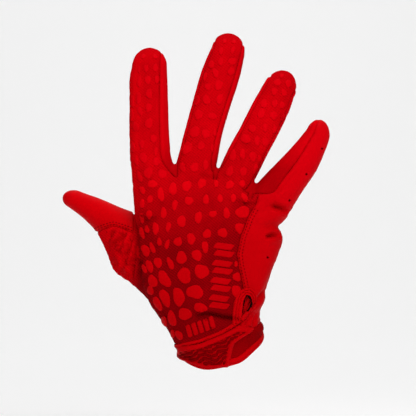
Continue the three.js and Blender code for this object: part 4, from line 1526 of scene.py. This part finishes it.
# Spots on the fingers: x, z, width, height and lean.
FINGER_SPOTS: tuple[Spot, ...] = (
    # Index
    (-54.1, 204.8, 3, 3.4, 0), (-45.6, 204.5, 3.2, 3.4, 0), (-56.8, 195.3, 2.4, 5, 0),
    (-52, 196.1, 2.8, 5.8, 0), (-45.4, 196.5, 4, 5.6, -8), (-56.6, 186.5, 3.4, 7.6, 0),
    (-50.6, 187.8, 4.4, 7, -5), (-44.4, 188.3, 3.6, 5.6, 0), (-57, 174.8, 3.4, 8.6, 4),
    (-49.7, 178.1, 4.6, 7.4, -5), (-56, 165.9, 3.8, 6.4, 20), (-49.9, 168.1, 4.2, 7.2, -4),
    (-59, 154.7, 5, 6.4, 8), (-49.8, 157.1, 6, 7.2, 0), (-54.6, 142.8, 3.4, 6.4, 0),
    (-46.4, 146.3, 5, 5.6, 20), (-60.8, 140.3, 3, 7, 8), (-53.6, 133.1, 5.4, 7.4, 8),
    (-44.8, 137.3, 3, 6, 0), (-44.4, 130.3, 4.8, 6.4, 0), (-58.4, 130.8, 2.6, 7, 8),
    (-50.1, 122.5, 6.4, 7.8, 0), (-40.4, 121.7, 6.2, 7, 0), (-56.1, 119.8, 3.4, 8, 22),
    (-61.6, 173.3, 2.4, 9, 0), (-61.8, 163.3, 2.4, 9, 0),
    # Middle
    (3.4, 215.8, 3, 3.4, -10), (9.9, 215.3, 3, 3.2, 0), (0.9, 208.8, 3.4, 5.6, -12),
    (9.1, 209.3, 3, 5.6, -10), (-6.1, 199.1, 4.2, 6, -22), (0.6, 201, 4, 6, -5), (8.7, 201.3, 5.6, 5.6, 0),
    (-3.1, 192.8, 4.4, 7, 14), (7.9, 194.1, 5, 5.6, 0), (-8.6, 183, 4.6, 5.2, -12),
    (-0.9, 184.3, 6.2, 7.2, -16), (-16.1, 173.3, 3.6, 7.6, -16), (-9.5, 173.7, 5.4, 7.2, 12),
    (-0.2, 174.3, 5, 7.4, -12), (-15, 163.3, 5.6, 7.6, -12), (-5.4, 162.3, 7, 4.4, -6),
    (-17.8, 151.1, 7, 8.4, -12), (-10, 149.8, 6.4, 6, -32), (-22.8, 140, 6.6, 9.6, -22),
    (-13.2, 141.5, 5, 6.8, -8), (-26.2, 126.3, 4, 6.6, 8), (-17.9, 126.3, 6.6, 6, 32),
    (-10.1, 128.1, 3.8, 7.8, 0), (-3.8, 150.8, 2.4, 5.4, 0), (-5.4, 139.8, 2.8, 5.6, 10),
    (-10.4, 190.3, 2.4, 6.6, -16),
    # Ring
    (43.4, 190.8, 3.2, 3, 0), (40.4, 186.1, 5, 5.2, 0), (48, 185.5, 4.4, 5.4, -10),
    (38.2, 179.8, 4.6, 5.6, 5), (44.9, 178.8, 3.6, 6, 10), (30.7, 171, 5.2, 6, 0),
    (38.3, 171.2, 4.2, 6, -4), (43.5, 170.1, 3.6, 5, -16), (28.9, 164.1, 5.4, 7.2, -10),
    (37.6, 162.8, 5.6, 6.4, -26), (22.6, 153.6, 6.2, 5, 0), (31.6, 154.1, 3.4, 6.2, 8),
    (17.9, 146.3, 7, 6.6, 0), (25.9, 145, 4.4, 7, 0), (31.7, 144.1, 5, 6.4, 5), (8.9, 134.8, 5, 8, -10),
    (15.7, 135.5, 4, 7.4, 6), (22.9, 133.9, 5.2, 7.4, -6), (38.2, 153.1, 3.2, 5.6, -16),
    (6.7, 123.5, 4.6, 8, -16), (16.2, 123.5, 5.4, 6.2, -32), (24.6, 125.3, 3.4, 7, -10),
    (27.4, 132.8, 2.6, 5, 0), (43.9, 161.3, 2.4, 5, -22),
)


class Surface:
    """The skin as a ground that other pieces are laid on."""

    start_y = -90.0
    # Where the nearest skin is looked for when a line of sight misses it
    sight_y, edge_y = -15.0, -10.0
    # Round the skin's edge: the width of a step, how many, and how far each goes back
    edge_step, edge_steps, edge_fall = 0.4, 40, 1.2
    # On a small piece's own slope: the least the skin faces forwards, and the most it may stray
    least_fall, most_stray = 0.25, 1.8

    def __init__(self, skin: Skin) -> None:
        """Keeps a tree of the skin."""
        self.tree = skin.tree()

    def spot(self, x: float, z: float) -> tuple[Vector, Vector]:
        """The skin behind a point seen from the back of the hand.

        Args:
            x: The point's x.
            z: The point's z.

        Returns:
            The skin's place there and its direction outwards.
        """
        place, normal, _, _ = self.tree.ray_cast(Vector((x, self.start_y, z)), Vector((0, 1, 0)))
        if place is None:
            place, normal, _, _ = self.tree.find_nearest(Vector((x, self.sight_y, z)))
        return place, normal

    def around(self, x: float, z: float) -> tuple[Vector, Vector]:
        """The skin at a point that lies beyond its edge as seen from the back: round that edge.

        Args:
            x: The point's x.
            z: The point's z.

        Returns:
            The skin's place there and its direction outwards.
        """
        inwards = -self.edge_step if x > 0 else self.edge_step
        for k in range(1, self.edge_steps):
            place, _, _, _ = self.tree.ray_cast(Vector((x + k * inwards, self.start_y, z)), Vector((0, 1, 0)))
            if place is not None:
                place.y += self.edge_fall * k * self.edge_step
                found, normal, _, _ = self.tree.find_nearest(place)
                return found, normal
        found, normal, _, _ = self.tree.find_nearest(Vector((x, self.edge_y, z)))
        return found, normal

    def lay(self, flat: Array, heights: Array, centre: Point | None = None) -> Array:
        """Lays points on the skin.

        Args:
            flat: Their x and z, seen from the back of the hand.
            heights: How far each stands off the skin.
            centre: For a small piece, its middle: the piece follows the skin's slope from there.

        Returns:
            The points' x, y and z.
        """
        ground, slope = self.spot(*centre) if centre is not None else (None, None)
        laid = []
        for (x, z), height in zip(flat, heights):
            place, normal, _, _ = self.tree.ray_cast(Vector((x, self.start_y, z)), Vector((0, 1, 0)))
            if ground is not None:
                fall = max(self.least_fall, -slope.y)
                guess = ground.y + (slope.x * (x - ground.x) + slope.z * (z - ground.z)) / fall
                if place is None or abs(place.y - guess) > self.most_stray:
                    place, normal = Vector((x, guess, z)), slope
            elif place is None:
                place, normal = self.around(x, z)
            laid.append(place + normal * float(height))
        return np.array(laid)


def joined(parts: Sequence[Part]) -> bpy.types.Mesh:
    """Makes one mesh of several parts.

    Args:
        parts: Each part's points in millimetres, and its faces.

    Returns:
        The new mesh.
    """
    points, faces, start = [], [], 0
    for part_points, part_faces in parts:
        points.append(part_points)
        faces += [tuple(i + start for i in face) for face in part_faces]
        start += len(part_points)
    return mesh_of(np.vstack(points), faces)


def ring_faces(rings: int, sides: int, closed: bool = True, top: bool = True) -> list[tuple[int, ...]]:
    """Faces between rings of equal length.

    Args:
        rings: How many rings.
        sides: How many points each has.
        closed: Whether a ring's last point joins its first.
        top: Whether a face closes the last ring.

    Returns:
        The faces.
    """
    faces = []
    for r in range(rings - 1):
        for k in range(sides if closed else sides - 1):
            a, b = r * sides + k, r * sides + (k + 1) % sides
            faces.append((a, b, b + sides, a + sides))
    if top:
        faces.append(tuple(range((rings - 1) * sides, rings * sides)))
    return faces


@dataclass
class Print:
    """The raised grip print: spots all over the back, and a line of plain pads."""

    surface: Surface
    thick: float = 0.62
    corners: int = 22
    # How far short of the back's seams the print ends
    seam_margin: float = 0.45
    # Shares of the outline and of the thickness, from under the skin to the middle of the top
    profile: tuple[Point, ...] = (
        (1.0, -0.5), (1.0, 0.25), (0.975, 0.6), (0.93, 0.86), (0.86, 1.0), (0.5, 1.06))

    def outline(self, width: float, height: float, lean: float, seed: int) -> Array:
        """A pebble's outline round its middle.

        Args:
            width: Its size across.
            height: Its size upwards.
            lean: By how many degrees it is turned.
            seed: Which of the irregular forms it has.

        Returns:
            An array of x and z.
        """
        angle = np.linspace(0, 2 * math.pi, self.corners, endpoint=False)
        bump = 1 + 0.07 * np.sin(2 * angle + seed * 2.4) + 0.065 * np.cos(3 * angle + seed * 1.7)
        bump += 0.03 * np.sin(5 * angle + seed * 3.1)
        x, z = width / 2 * bump * np.cos(angle), height / 2 * bump * np.sin(angle)
        turn = math.radians(lean)
        cos, sin = math.cos(turn), math.sin(turn)
        return np.column_stack([x * cos - z * sin, x * sin + z * cos])

    def raised(self, outline: Array, centre: Point) -> Part:
        """A raised drop of print.

        Args:
            outline: Its outline round its middle.
            centre: The middle's x and z.

        Returns:
            Its points and faces, closed below.
        """
        rings = []
        for share, height in self.profile:
            flat = outline * share + np.array(centre)
            rings.append(self.surface.lay(flat, np.full(len(flat), height * self.thick), centre))
        sides = len(outline)
        faces = ring_faces(len(rings), sides)
        faces.append(tuple(range(sides))[::-1])
        return np.vstack(rings), faces

    def clear_of_seams(self, points: Array) -> Array:
        """Positive where print may lie.

        Args:
            points: An array of x, y and z.

        Returns:
            How far they lie inside the knitted back, less the margin.
        """
        regions = Regions()
        fields = (regions.strips, regions.thumb, regions.side, regions.cuff)
        return -self.seam_margin - np.maximum.reduce([field(points) for field in fields])

    def spots(self, name: str, table: Sequence[Spot], finish: str) -> None:
        """Prints the spots of a table, cut where they reach over the back's seams.

        Args:
            name: The piece's name.
            table: The spots.
            finish: The name of their finish.
        """
        parts = [
            self.raised(self.outline(width, height, lean, i), (x, z))
            for i, (x, z, width, height, lean) in enumerate(table)
        ]
        mesh = joined(parts)
        mesh.transform(TO_MM)
        work = bmesh.new()
        work.from_mesh(mesh)
        bmesh.ops.triangulate(work, faces=[f for f in work.faces if len(f.verts) > 8])
        cut_along(work, self.clear_of_seams)
        drop_faces(work, lambda centres: self.clear_of_seams(centres) < 0)
        bmesh.ops.holes_fill(work, edges=[e for e in work.edges if e.is_boundary])
        work.to_mesh(mesh)
        work.free()
        mesh.transform(TO_METRES)
        Piece.finish(name, mesh, finish, Slot.GRIP)

    def pads(self) -> None:
        """Prints the plain pads: pairs of slanted bars on the back, and single ones over the cuff."""
        # Centre, size, turn and skew: four pairs over the seam's side, then five over the cuff
        bars = [((2.6 - 1.1 * i + 0.1 * k, 71.4 - 12.0 * i - 5.2 * k), (13.0, 4.3), -8.0, 1.2)
                for i in range(4) for k in range(2)]
        bars += [((-21.6 + 4.0 * i, 12.4 + 1.5 * i), (3.4, 8.8), 24.0, 0.6) for i in range(5)]
        parts = []
        for centre, (width, height), turn, skew in bars:
            low, high = (-width / 2 - skew, width / 2 - skew), (width / 2 + skew, -width / 2 + skew)
            corners = (*((x, -height / 2) for x in low), *((x, height / 2) for x in high))
            angle = math.radians(turn)
            spin = np.array(((math.cos(angle), math.sin(angle)), (-math.sin(angle), math.cos(angle))))
            parts.append(self.raised(rounded(corners, 0.8) @ spin, centre))
        Piece.finish("grip_pads", joined(parts), "thin_printed_silicone", Slot.GRIP)

    def build(self) -> None:
        """Prints it all."""
        self.spots("grip_spots_hand", HAND_SPOTS, "printed_silicone")
        self.spots("grip_spots_fingers", FINGER_SPOTS, "thin_printed_silicone")
        self.spots("grip_spots_thumb", THUMB_SPOTS, "thin_printed_silicone")
        self.pads()


@dataclass
class Sewing:
    """Stitches: short lengths of thread along a line, pressed a little into the cloth."""

    surface: Surface
    length: float = 1.5
    gap: float = 0.75
    radius: float = 0.3
    sides: int = 6
    first_at: float = 0.5
    bite: float = 0.35
    # How far the two rows of each double seam run from its line
    side_rows: Point = (-1.3, -3.3)
    hem_rows: Point = (-1.3, -2.9)
    # Along a stitch: the share of its length, of its thickness, and its height
    profile: tuple[tuple[float, float, float], ...] = (
        (0, 0.35, -0.25), (0.2, 0.9, 0.1), (0.5, 1.0, 0.22), (0.8, 0.9, 0.1), (1, 0.35, -0.25))

    def stitch(self, start: Array, end: Array, lift: float) -> Part:
        """One stitch: a short rounded thread.

        Args:
            start: Where it goes in, as x and z.
            end: Where it comes out.
            lift: How far above the skin it lies.

        Returns:
            Its points and faces.
        """
        a, b = (self.surface.spot(*p) for p in (start, end))
        along = (b[0] - a[0]).normalized()
        up = (a[1] + b[1]).normalized()
        side = along.cross(up).normalized()
        rings = []
        for share, size, height in self.profile:
            centre = a[0].lerp(b[0], share) + up * (height + lift)
            ring = [centre + (side * math.cos(t) + up * math.sin(t)) * self.radius * size
                    for t in np.linspace(0, 2 * math.pi, self.sides, endpoint=False)]
            rings.append(np.array(ring))
        faces = ring_faces(len(rings), self.sides)
        faces.append(tuple(range(self.sides))[::-1])
        return np.vstack(rings), faces

    def row(self, line: Outline, offset: float) -> list[Part]:
        """A row of stitches beside a line.

        Args:
            line: The seam's course.
            offset: How far right of the line's direction the row runs.

        Returns:
            The stitches' points and faces.
        """
        points = rounded(line, 0.4, 6, closed=False)
        along = np.gradient(points, axis=0)
        along /= np.linalg.norm(along, axis=1)[:, None]
        points = points + offset * np.column_stack([along[:, 1], -along[:, 0]])
        at = np.concatenate([[0], np.cumsum(np.linalg.norm(np.diff(points, axis=0), axis=1))])
        starts = np.arange(self.first_at, at[-1] - self.length, self.length + self.gap)
        ends = [np.column_stack([np.interp(d, at, points[:, k]) for k in range(2)])
                for d in (starts, starts + self.length)]
        return [self.stitch(start, end, 0.0) for start, end in zip(*ends)]

    def edging(self, line: Outline, reach: float, spacing: float, lift: float) -> list[Part]:
        """Stitches across a line, as an overlocked edge.

        Args:
            line: The edge's course.
            reach: How far each stitch goes over the edge.
            spacing: The distance between stitches.
            lift: How far above the skin they lie.

        Returns:
            The stitches' points and faces.
        """
        points = rounded(line, spacing, 4, closed=False)
        along = np.gradient(points, axis=0)
        along /= np.linalg.norm(along, axis=1)[:, None]
        out = np.column_stack([-along[:, 1], along[:, 0]])
        return [self.stitch(p - o * self.bite, p + o * reach, lift) for p, o in zip(points, out)]

    def build(self) -> None:
        """Sews double rows along the side seam and the thumb's hem, the vent's edge and its painted shadow.
        """
        side = SIDE_SEAM[4:11]
        rows = [stitch for offset in self.side_rows for stitch in self.row(side, offset)]
        hem = ((-92.5, 79.2), *THUMB_SEAM[2:7])
        rows += [stitch for offset in self.hem_rows for stitch in self.row(hem, offset)]
        Piece.finish("seam_stitches", joined(rows), "spun_polyester_thread", Slot.BINDING)
        # Near-black thread along the vent's left edge is painted shadow, where the opening's edge falls into
        # shade
        left = ((15.1, 22), (15.0, 25), (15.5, 30), (16, 33.5))
        edge = (left[-1], (16.6, 36), (17.9, 37.7), (19.9, 36.7), (21.4, 33.4), (21.4, 31.6), (20.2, 29.2),
                (18.6, 26.8))
        cord, tooth = Sewing(self.surface, radius=0.42), Sewing(self.surface, radius=0.5)
        overlock_and_shadow_line = cord.edging(left, 0.15, 0.62, 1.0) + cord.edging(edge, 0.6, 0.62, 1.0)
        overlock_and_shadow_line += tooth.edging(edge, 1.7, 1.7, 1.15)
        Piece.finish("vent_overlock_and_shadow_line", joined(overlock_and_shadow_line), "black_thread_and_painted_shadow", Slot.BINDING)


def band(surface: Surface, left: Outline, right: Outline, heights: Sequence[Point],
         spacing: float = 0.8) -> Part:
    """A band between two lines on the skin.

    Args:
        surface: What it lies on.
        left: One edge's course.
        right: The other edge's course, in the same direction.
        heights: Shares of the way across, each with its height.
        spacing: How close its rows lie.

    Returns:
        Its points and faces.
    """
    a, b = (rounded(line, 0.5, 10, closed=False) for line in (left, right))
    count = max(8, int(len(a) * 0.5 / spacing))
    even = np.linspace(0, 1, count)
    a, b = (
        np.column_stack([np.interp(even, np.linspace(0, 1, len(line)), line[:, k]) for k in range(2)])
        for line in (a, b)
    )
    shares = np.array([share for share, _ in heights])
    flat = (a[:, None] + (b - a)[:, None] * shares[None, :, None]).reshape(-1, 2)
    height = np.tile([h for _, h in heights], count)
    points = surface.lay(flat, height)
    return points, ring_faces(count, len(shares), closed=False, top=False)


# Below which share of a plate's face size a point counts as on its edge
PLATE_SNAP = 0.15


def plate(surface: Surface, outline: Outline, step: float, height: Callable[[Array, Array], Array],
          inset: float = 0.0) -> Part:
    """A plate on the skin, inside an outline.

    Args:
        surface: What it lies on.
        outline: Its outline, seen from the back of the hand.
        step: The size of its faces.
        height: Gives heights for points and their distances from the edge.
        inset: How far inside the outline the plate's edge lies.

    Returns:
        Its points and faces.
    """
    smooth = [tuple(p) for p in rounded(outline, 0.9, 3)]
    low, high = area_of(outline).min(axis=0) - step, area_of(outline).max(axis=0) + step
    columns, rows = (np.ceil((high - low) / step)).astype(int)
    xs, zs = low[0] + step * np.arange(columns + 1), low[1] + step * np.arange(rows + 1)
    work = bmesh.new()
    grid = [[work.verts.new((x, 0, z)) for x in xs] for z in zs]
    for r in range(rows):
        for c in range(columns):
            work.faces.new((grid[r][c], grid[r][c + 1], grid[r + 1][c + 1], grid[r + 1][c]))
    cut_along(work, lambda p: inside_by(p[:, [0, 2]], smooth) - inset, PLATE_SNAP * step)
    drop_faces(work, lambda p: inside_by(p[:, [0, 2]], smooth) <= inset)
    bmesh.ops.delete(work, geom=[v for v in work.verts if not v.link_faces], context="VERTS")
    work.verts.index_update()
    flat = np.array([v.co for v in work.verts])[:, [0, 2]]
    faces = [tuple(v.index for v in f.verts) for f in work.faces]
    work.free()
    distance = np.maximum(0, inside_by(flat, smooth) - inset)
    return surface.lay(flat, height(flat, distance)), faces


def step_up(distance: Array, width: float) -> Array:
    """Rises from 0 to 1 over a width, as a rounded edge."""
    share = np.clip(distance / width, 0, 1)
    return np.sqrt(1 - (1 - share) ** 2)


@dataclass
class Wrist:
    """The cuff's rim, the piping over its seam, the vent's binding, and the strap with its patch."""

    surface: Surface
    rim_radius: float = 1.9
    rim_sides: int = 132
    rim_steps: int = 20
    rim_inwards: float = 0.6
    rim_width: float = 1.15
    binding_ridges: int = 3
    binding_steps: int = 34
    gusset_size: float = 1.35
    gusset_depth: float = 1.7
    gusset_waves: float = 0.4
    strap_sunk: float = 0.3
    strap_top: float = 1.7
    patch_top: float = 2.2
    border: float = 1.8
    border_rise: float = 1.3
    # The strap's rounded edge, and how softly the border ends at it
    edge_round: float = 0.9
    border_round: float = 0.5
    strap_step: float = 0.55
    patch_step: float = 0.42

    def rim(self) -> None:
        """The rolled rim: two soft cords side by side round the mouth."""
        across, deep = section_ring(self.rim_sides, HAND_POWER)
        ring = drawn_up(HAND.sections_of(HAND.rows[1:2]).points(across[None, :], deep[None, :])[0])
        centre = ring.mean(axis=0)
        along = np.roll(ring, -1, axis=0) - np.roll(ring, 1, axis=0)
        along /= np.linalg.norm(along, axis=1)[:, None]
        out = ring - centre
        out -= (out * along).sum(axis=1)[:, None] * along
        out /= np.linalg.norm(out, axis=1)[:, None]
        up = np.cross(along, out)
        rings = []
        for t in np.linspace(0, 2 * math.pi, self.rim_steps, endpoint=False):
            size = self.rim_radius * (0.6 + 0.7 * abs(math.sin(t)) ** 0.8)
            outwards = out * math.cos(t) * size * self.rim_width
            rings.append(ring - out * self.rim_inwards + outwards + up * math.sin(t) * size)
        rings.append(rings[0])
        points = np.vstack(rings)
        mesh = mesh_of(points, [f[::-1] for f in ring_faces(len(rings), self.rim_sides, top=False)])
        work = bmesh.new()
        work.from_mesh(mesh)
        bmesh.ops.remove_doubles(work, verts=work.verts, dist=1e-6)
        bmesh.ops.recalc_face_normals(work, faces=work.faces)
        work.to_mesh(mesh)
        work.free()
        Piece.finish("rolled_rim", mesh, "folded_polyester_tape", Slot.BINDING, ["cuff_rim"])

    def piping(self) -> None:
        """The broad piping along the cuff's seam."""
        line = area_of(((-36, 0.9), *CUFF_SEAM[2:9]))
        along = np.gradient(line, axis=0)
        along /= np.linalg.norm(along, axis=1)[:, None]
        side = np.column_stack([-along[:, 1], along[:, 0]])
        width = np.interp(np.linspace(0, 1, len(line)), [0, 0.5, 1], [2.1, 2.7, 3.0])[:, None]
        heights = ((0, -0.4), (0.02, 0.5), (0.1, 1.1), (0.28, 1.6), (0.5, 1.75), (0.72, 1.6), (0.9, 1.1),
                   (0.98, 0.5), (1, -0.4))
        edges = [[tuple(p) for p in line + side * width * share] for share in (-0.5, 0.5)]
        mesh = mesh_of(*band(self.surface, edges[0], edges[1], heights))
        Piece.finish("seam_piping", mesh, "folded_polyester_tape", Slot.BINDING, ["wrist_piping"])

    def vent(self) -> None:
        """The vent's binding in parallel ridges, and the cloth behind the vent."""
        inner = ((14.0, 18.6), (14.5, 25), (15.2, 30), (16, 35), (17.9, 38), (20.4, 36.9), (22, 32.6),
                 (20.8, 29.6), (18.8, 26.4), (16.6, 23.2))
        outer = ((8.4, 17.6), (8.4, 24), (9.2, 31.6), (11.6, 38.4), (16.2, 42.4), (21.2, 42.8), (24.9, 39.6),
                 (24.8, 34.3), (22.9, 29.3), (19.6, 24.4))
        heights = [(0.0, -0.6), (0.01, 0.2)]
        for share in np.linspace(0.03, 0.97, self.binding_steps):
            ridge = abs(math.sin(math.pi * self.binding_ridges * share)) ** 0.6
            heights.append((float(share), 0.5 + 1.5 * ridge))
        heights += [(0.99, 0.2), (1.0, -0.6)]
        mesh = mesh_of(*band(self.surface, inner, outer, heights, 0.6))
        Piece.finish("vent_binding_tape", mesh, "folded_polyester_tape", Slot.BINDING, ["vent_binding"])
        centre = area_of(VENT).mean(axis=0)
        behind = tuple(tuple(centre + (np.array(p) - centre) * self.gusset_size) for p in VENT)

        def height(flat: Array, distance: Array) -> Array:
            """Loose cloth behind the skin, in soft waves."""
            level = np.column_stack([flat, flat[:, :1] * 0])
            return -self.gusset_depth + self.gusset_waves * waves(level, 6, 4)

        mesh = mesh_of(*plate(self.surface, behind, 0.8, height))
        Piece.finish("vent_gusset", mesh, "polyurethane_coated_jersey", Slot.SMOOTH)

    def strap(self) -> None:
        """The fastening strap, a firm tab with a raised border round its patch."""
        rise = self.strap_top + self.strap_sunk

        def height(flat: Array, distance: Array) -> Array:
            """A flat top with a rounded edge, and the border.

            Args:
                flat: Points seen from the back of the hand.
                distance: How far inside the strap's edge they lie.

            Returns:
                Their heights over the skin.
            """
            ridge = bell(inside_by(flat, PATCH) - 0.5 * self.border, 0.42 * self.border)
            raised = self.border_rise * ridge * step_up(distance, self.border_round)
            return -self.strap_sunk + rise * step_up(distance, self.edge_round) + raised

        mesh = mesh_of(*plate(self.surface, STRAP, self.strap_step, height))
        Piece.finish("strap", mesh, "polyurethane_coated_jersey", Slot.SMOOTH, ["strap_tab"])

    def patch(self) -> None:
        """The moulded patch inside the border: plain waves in low relief."""

        def height(flat: Array, distance: Array) -> Array:
            """A sunk edge, and waves that flow from left to right.

            Args:
                flat: Points seen from the back of the hand.
                distance: How far inside the patch's edge they lie.

            Returns:
                Their heights over the skin.
            """
            field = np.clip(distance / 1.0, 0, 1)
            x, z = (flat - np.array(PATCH_CENTRE)).T
            bend = 1.6 * np.sin(x * 0.21) + 1.1 * np.sin(x * 0.47 + z * 0.3 + 1)
            swell = np.sin((z - 0.42 * x + bend) * 1.9)
            swell = swell + 0.6 * np.sin((z + 0.5 * x) * 1.7 + 2.2 * np.sin(x * 0.33))
            return self.patch_top + 0.5 * (field - 1) + field * 0.75 * np.tanh(2.4 * swell)

        mesh = mesh_of(*plate(self.surface, PATCH, self.patch_step, height, self.border))
        Piece.finish("strap_patch", mesh, "moulded_thermoplastic_rubber", Slot.MOULDING, ["tab_patch"])

    def build(self) -> None:
        """Makes the wrist's pieces."""
        self.rim()
        self.piping()
        self.vent()
        self.strap()
        self.patch()


@dataclass
class Studio:
    """A pale floor that sweeps up behind the glove, soft lights, and the camera at the photograph's angle."""

    # The photograph's scale and size, and the pixel where the frame's origin lies
    pixel_mm: float = 0.7
    photo_pixels: int = 416
    origin_pixel: tuple[int, int] = (220, 348)
    distance: float = 2.0
    subject_y: float = -0.012
    sensor: float = 36.0
    world_strength: float = 0.12
    floor_z: float = -0.075
    floor_half: float = 4.5
    wall_y: float = 3.2
    wall_top: float = 2.6
    sweep: float = 1.6

    def floor(self) -> None:
        """The floor and its sweep."""
        profile = [(-self.floor_half, self.floor_z)]
        for degrees in range(0, 91, 5):
            angle = math.radians(degrees)
            y = self.wall_y - self.sweep + self.sweep * math.sin(angle)
            profile.append((y, self.floor_z + self.sweep * (1 - math.cos(angle))))
        profile.append((self.wall_y, self.wall_top))
        points = [(x, y, z) for y, z in profile for x in (-self.floor_half, self.floor_half)]
        faces = [(2 * i, 2 * i + 1, 2 * i + 3, 2 * i + 2) for i in range(len(profile) - 1)]
        mesh = bpy.data.meshes.new("studio_floor")
        mesh.from_pydata(points, [], faces)
        mesh.shade_smooth()
        floor = bpy.data.objects.new("studio_floor", mesh)
        bpy.context.scene.collection.objects.link(floor)
        material = bpy.data.materials.new("matt_white_paper")
        material.use_nodes = True
        shader = material.node_tree.nodes["Principled BSDF"]
        shader.inputs["Base Color"].default_value = linear("ffffff")
        shader.inputs["Roughness"].default_value = 1.0
        shader.inputs["Specular IOR Level"].default_value = 0.0
        mesh.materials.append(material)
        floor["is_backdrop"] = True

    def light(
        self,
        name: str,
        place: tuple[float, float, float],
        size: float,
        power: float,
        target: tuple[float, float, float] = (0, 0, 0.1),
    ) -> None:
        """A soft square light.

        Args:
            name: Its name.
            place: Where it stands.
            size: The length of its sides.
            power: Its power in watts.
            target: What it points at, the glove unless said otherwise.
        """
        data = bpy.data.lights.new(name, "AREA")
        data.shape = "SQUARE"
        data.size = size
        data.energy = power
        lamp = bpy.data.objects.new(name, data)
        bpy.context.scene.collection.objects.link(lamp)
        lamp.location = place
        lamp.rotation_euler = (Vector(target) - Vector(place)).to_track_quat("-Z", "Y").to_euler()

    def camera(self) -> None:
        """The camera, level with the middle of the frame and far enough off to look flat."""
        middle = self.photo_pixels // 2
        x = (middle - self.origin_pixel[0]) * self.pixel_mm * MM
        z = (self.origin_pixel[1] - middle) * self.pixel_mm * MM
        data = bpy.data.cameras.new("camera")
        width = self.photo_pixels * self.pixel_mm * MM
        data.sensor_width = self.sensor
        data.lens = self.sensor * self.distance / width
        data.clip_end = 20
        camera = bpy.data.objects.new("camera", data)
        bpy.context.scene.collection.objects.link(camera)
        camera.location = (x, self.subject_y - self.distance, z)
        camera.rotation_euler = (math.pi / 2, 0, 0)
        bpy.context.scene.camera = camera

    def build(self) -> None:
        """Sets up the stage."""
        self.floor()
        self.light("key_light", (0.3, -0.85, 0.6), 0.5, 4.2)
        self.light("front_light", (0.05, -1.0, 1.3), 0.8, 10.0)
        self.light("ceiling_light", (0, 0.3, 3.0), 3.5, 52, (0, 0.3, 0))
        self.light("wall_light", (0, 1.5, 2.2), 1.5, 17, (0, 3.2, 0.3))
        self.camera()
        world = bpy.data.worlds.new("studio_air")
        world.use_nodes = True
        background = world.node_tree.nodes["Background"]
        background.inputs["Color"].default_value = (1, 1, 1, 1)
        background.inputs["Strength"].default_value = self.world_strength
        bpy.context.scene.world = world
        view = bpy.context.scene.view_settings
        view.view_transform = "Standard"
        view.look = "None"
        view.exposure = 0
        view.gamma = 1


def write_sizes() -> None:
    """Gathers the solids' box and the dressed glove's box in rounded numbers, and keeps neither."""
    plain = lambda box: [[round(float(v), 5) for v in corner] for corner in box]
    {"cad": plain(CAD_BOX), "visual": plain(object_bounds())}


def main() -> None:
    """Builds the glove piece by piece, then its stage, and reports each piece."""
    logging.basicConfig(level=logging.INFO, format="%(message)s")
    skin = SkinMaker().make()
    Panels().build(skin)
    surface = Surface(skin)
    Print(surface).build()
    Sewing(surface).build()
    Wrist(surface).build()
    Studio().build()
    for piece in Piece.made:
        LOG.info("%s: %d faces", piece.name, len(piece.data.polygons))
    write_sizes()


if __name__ == "__main__":
    main()
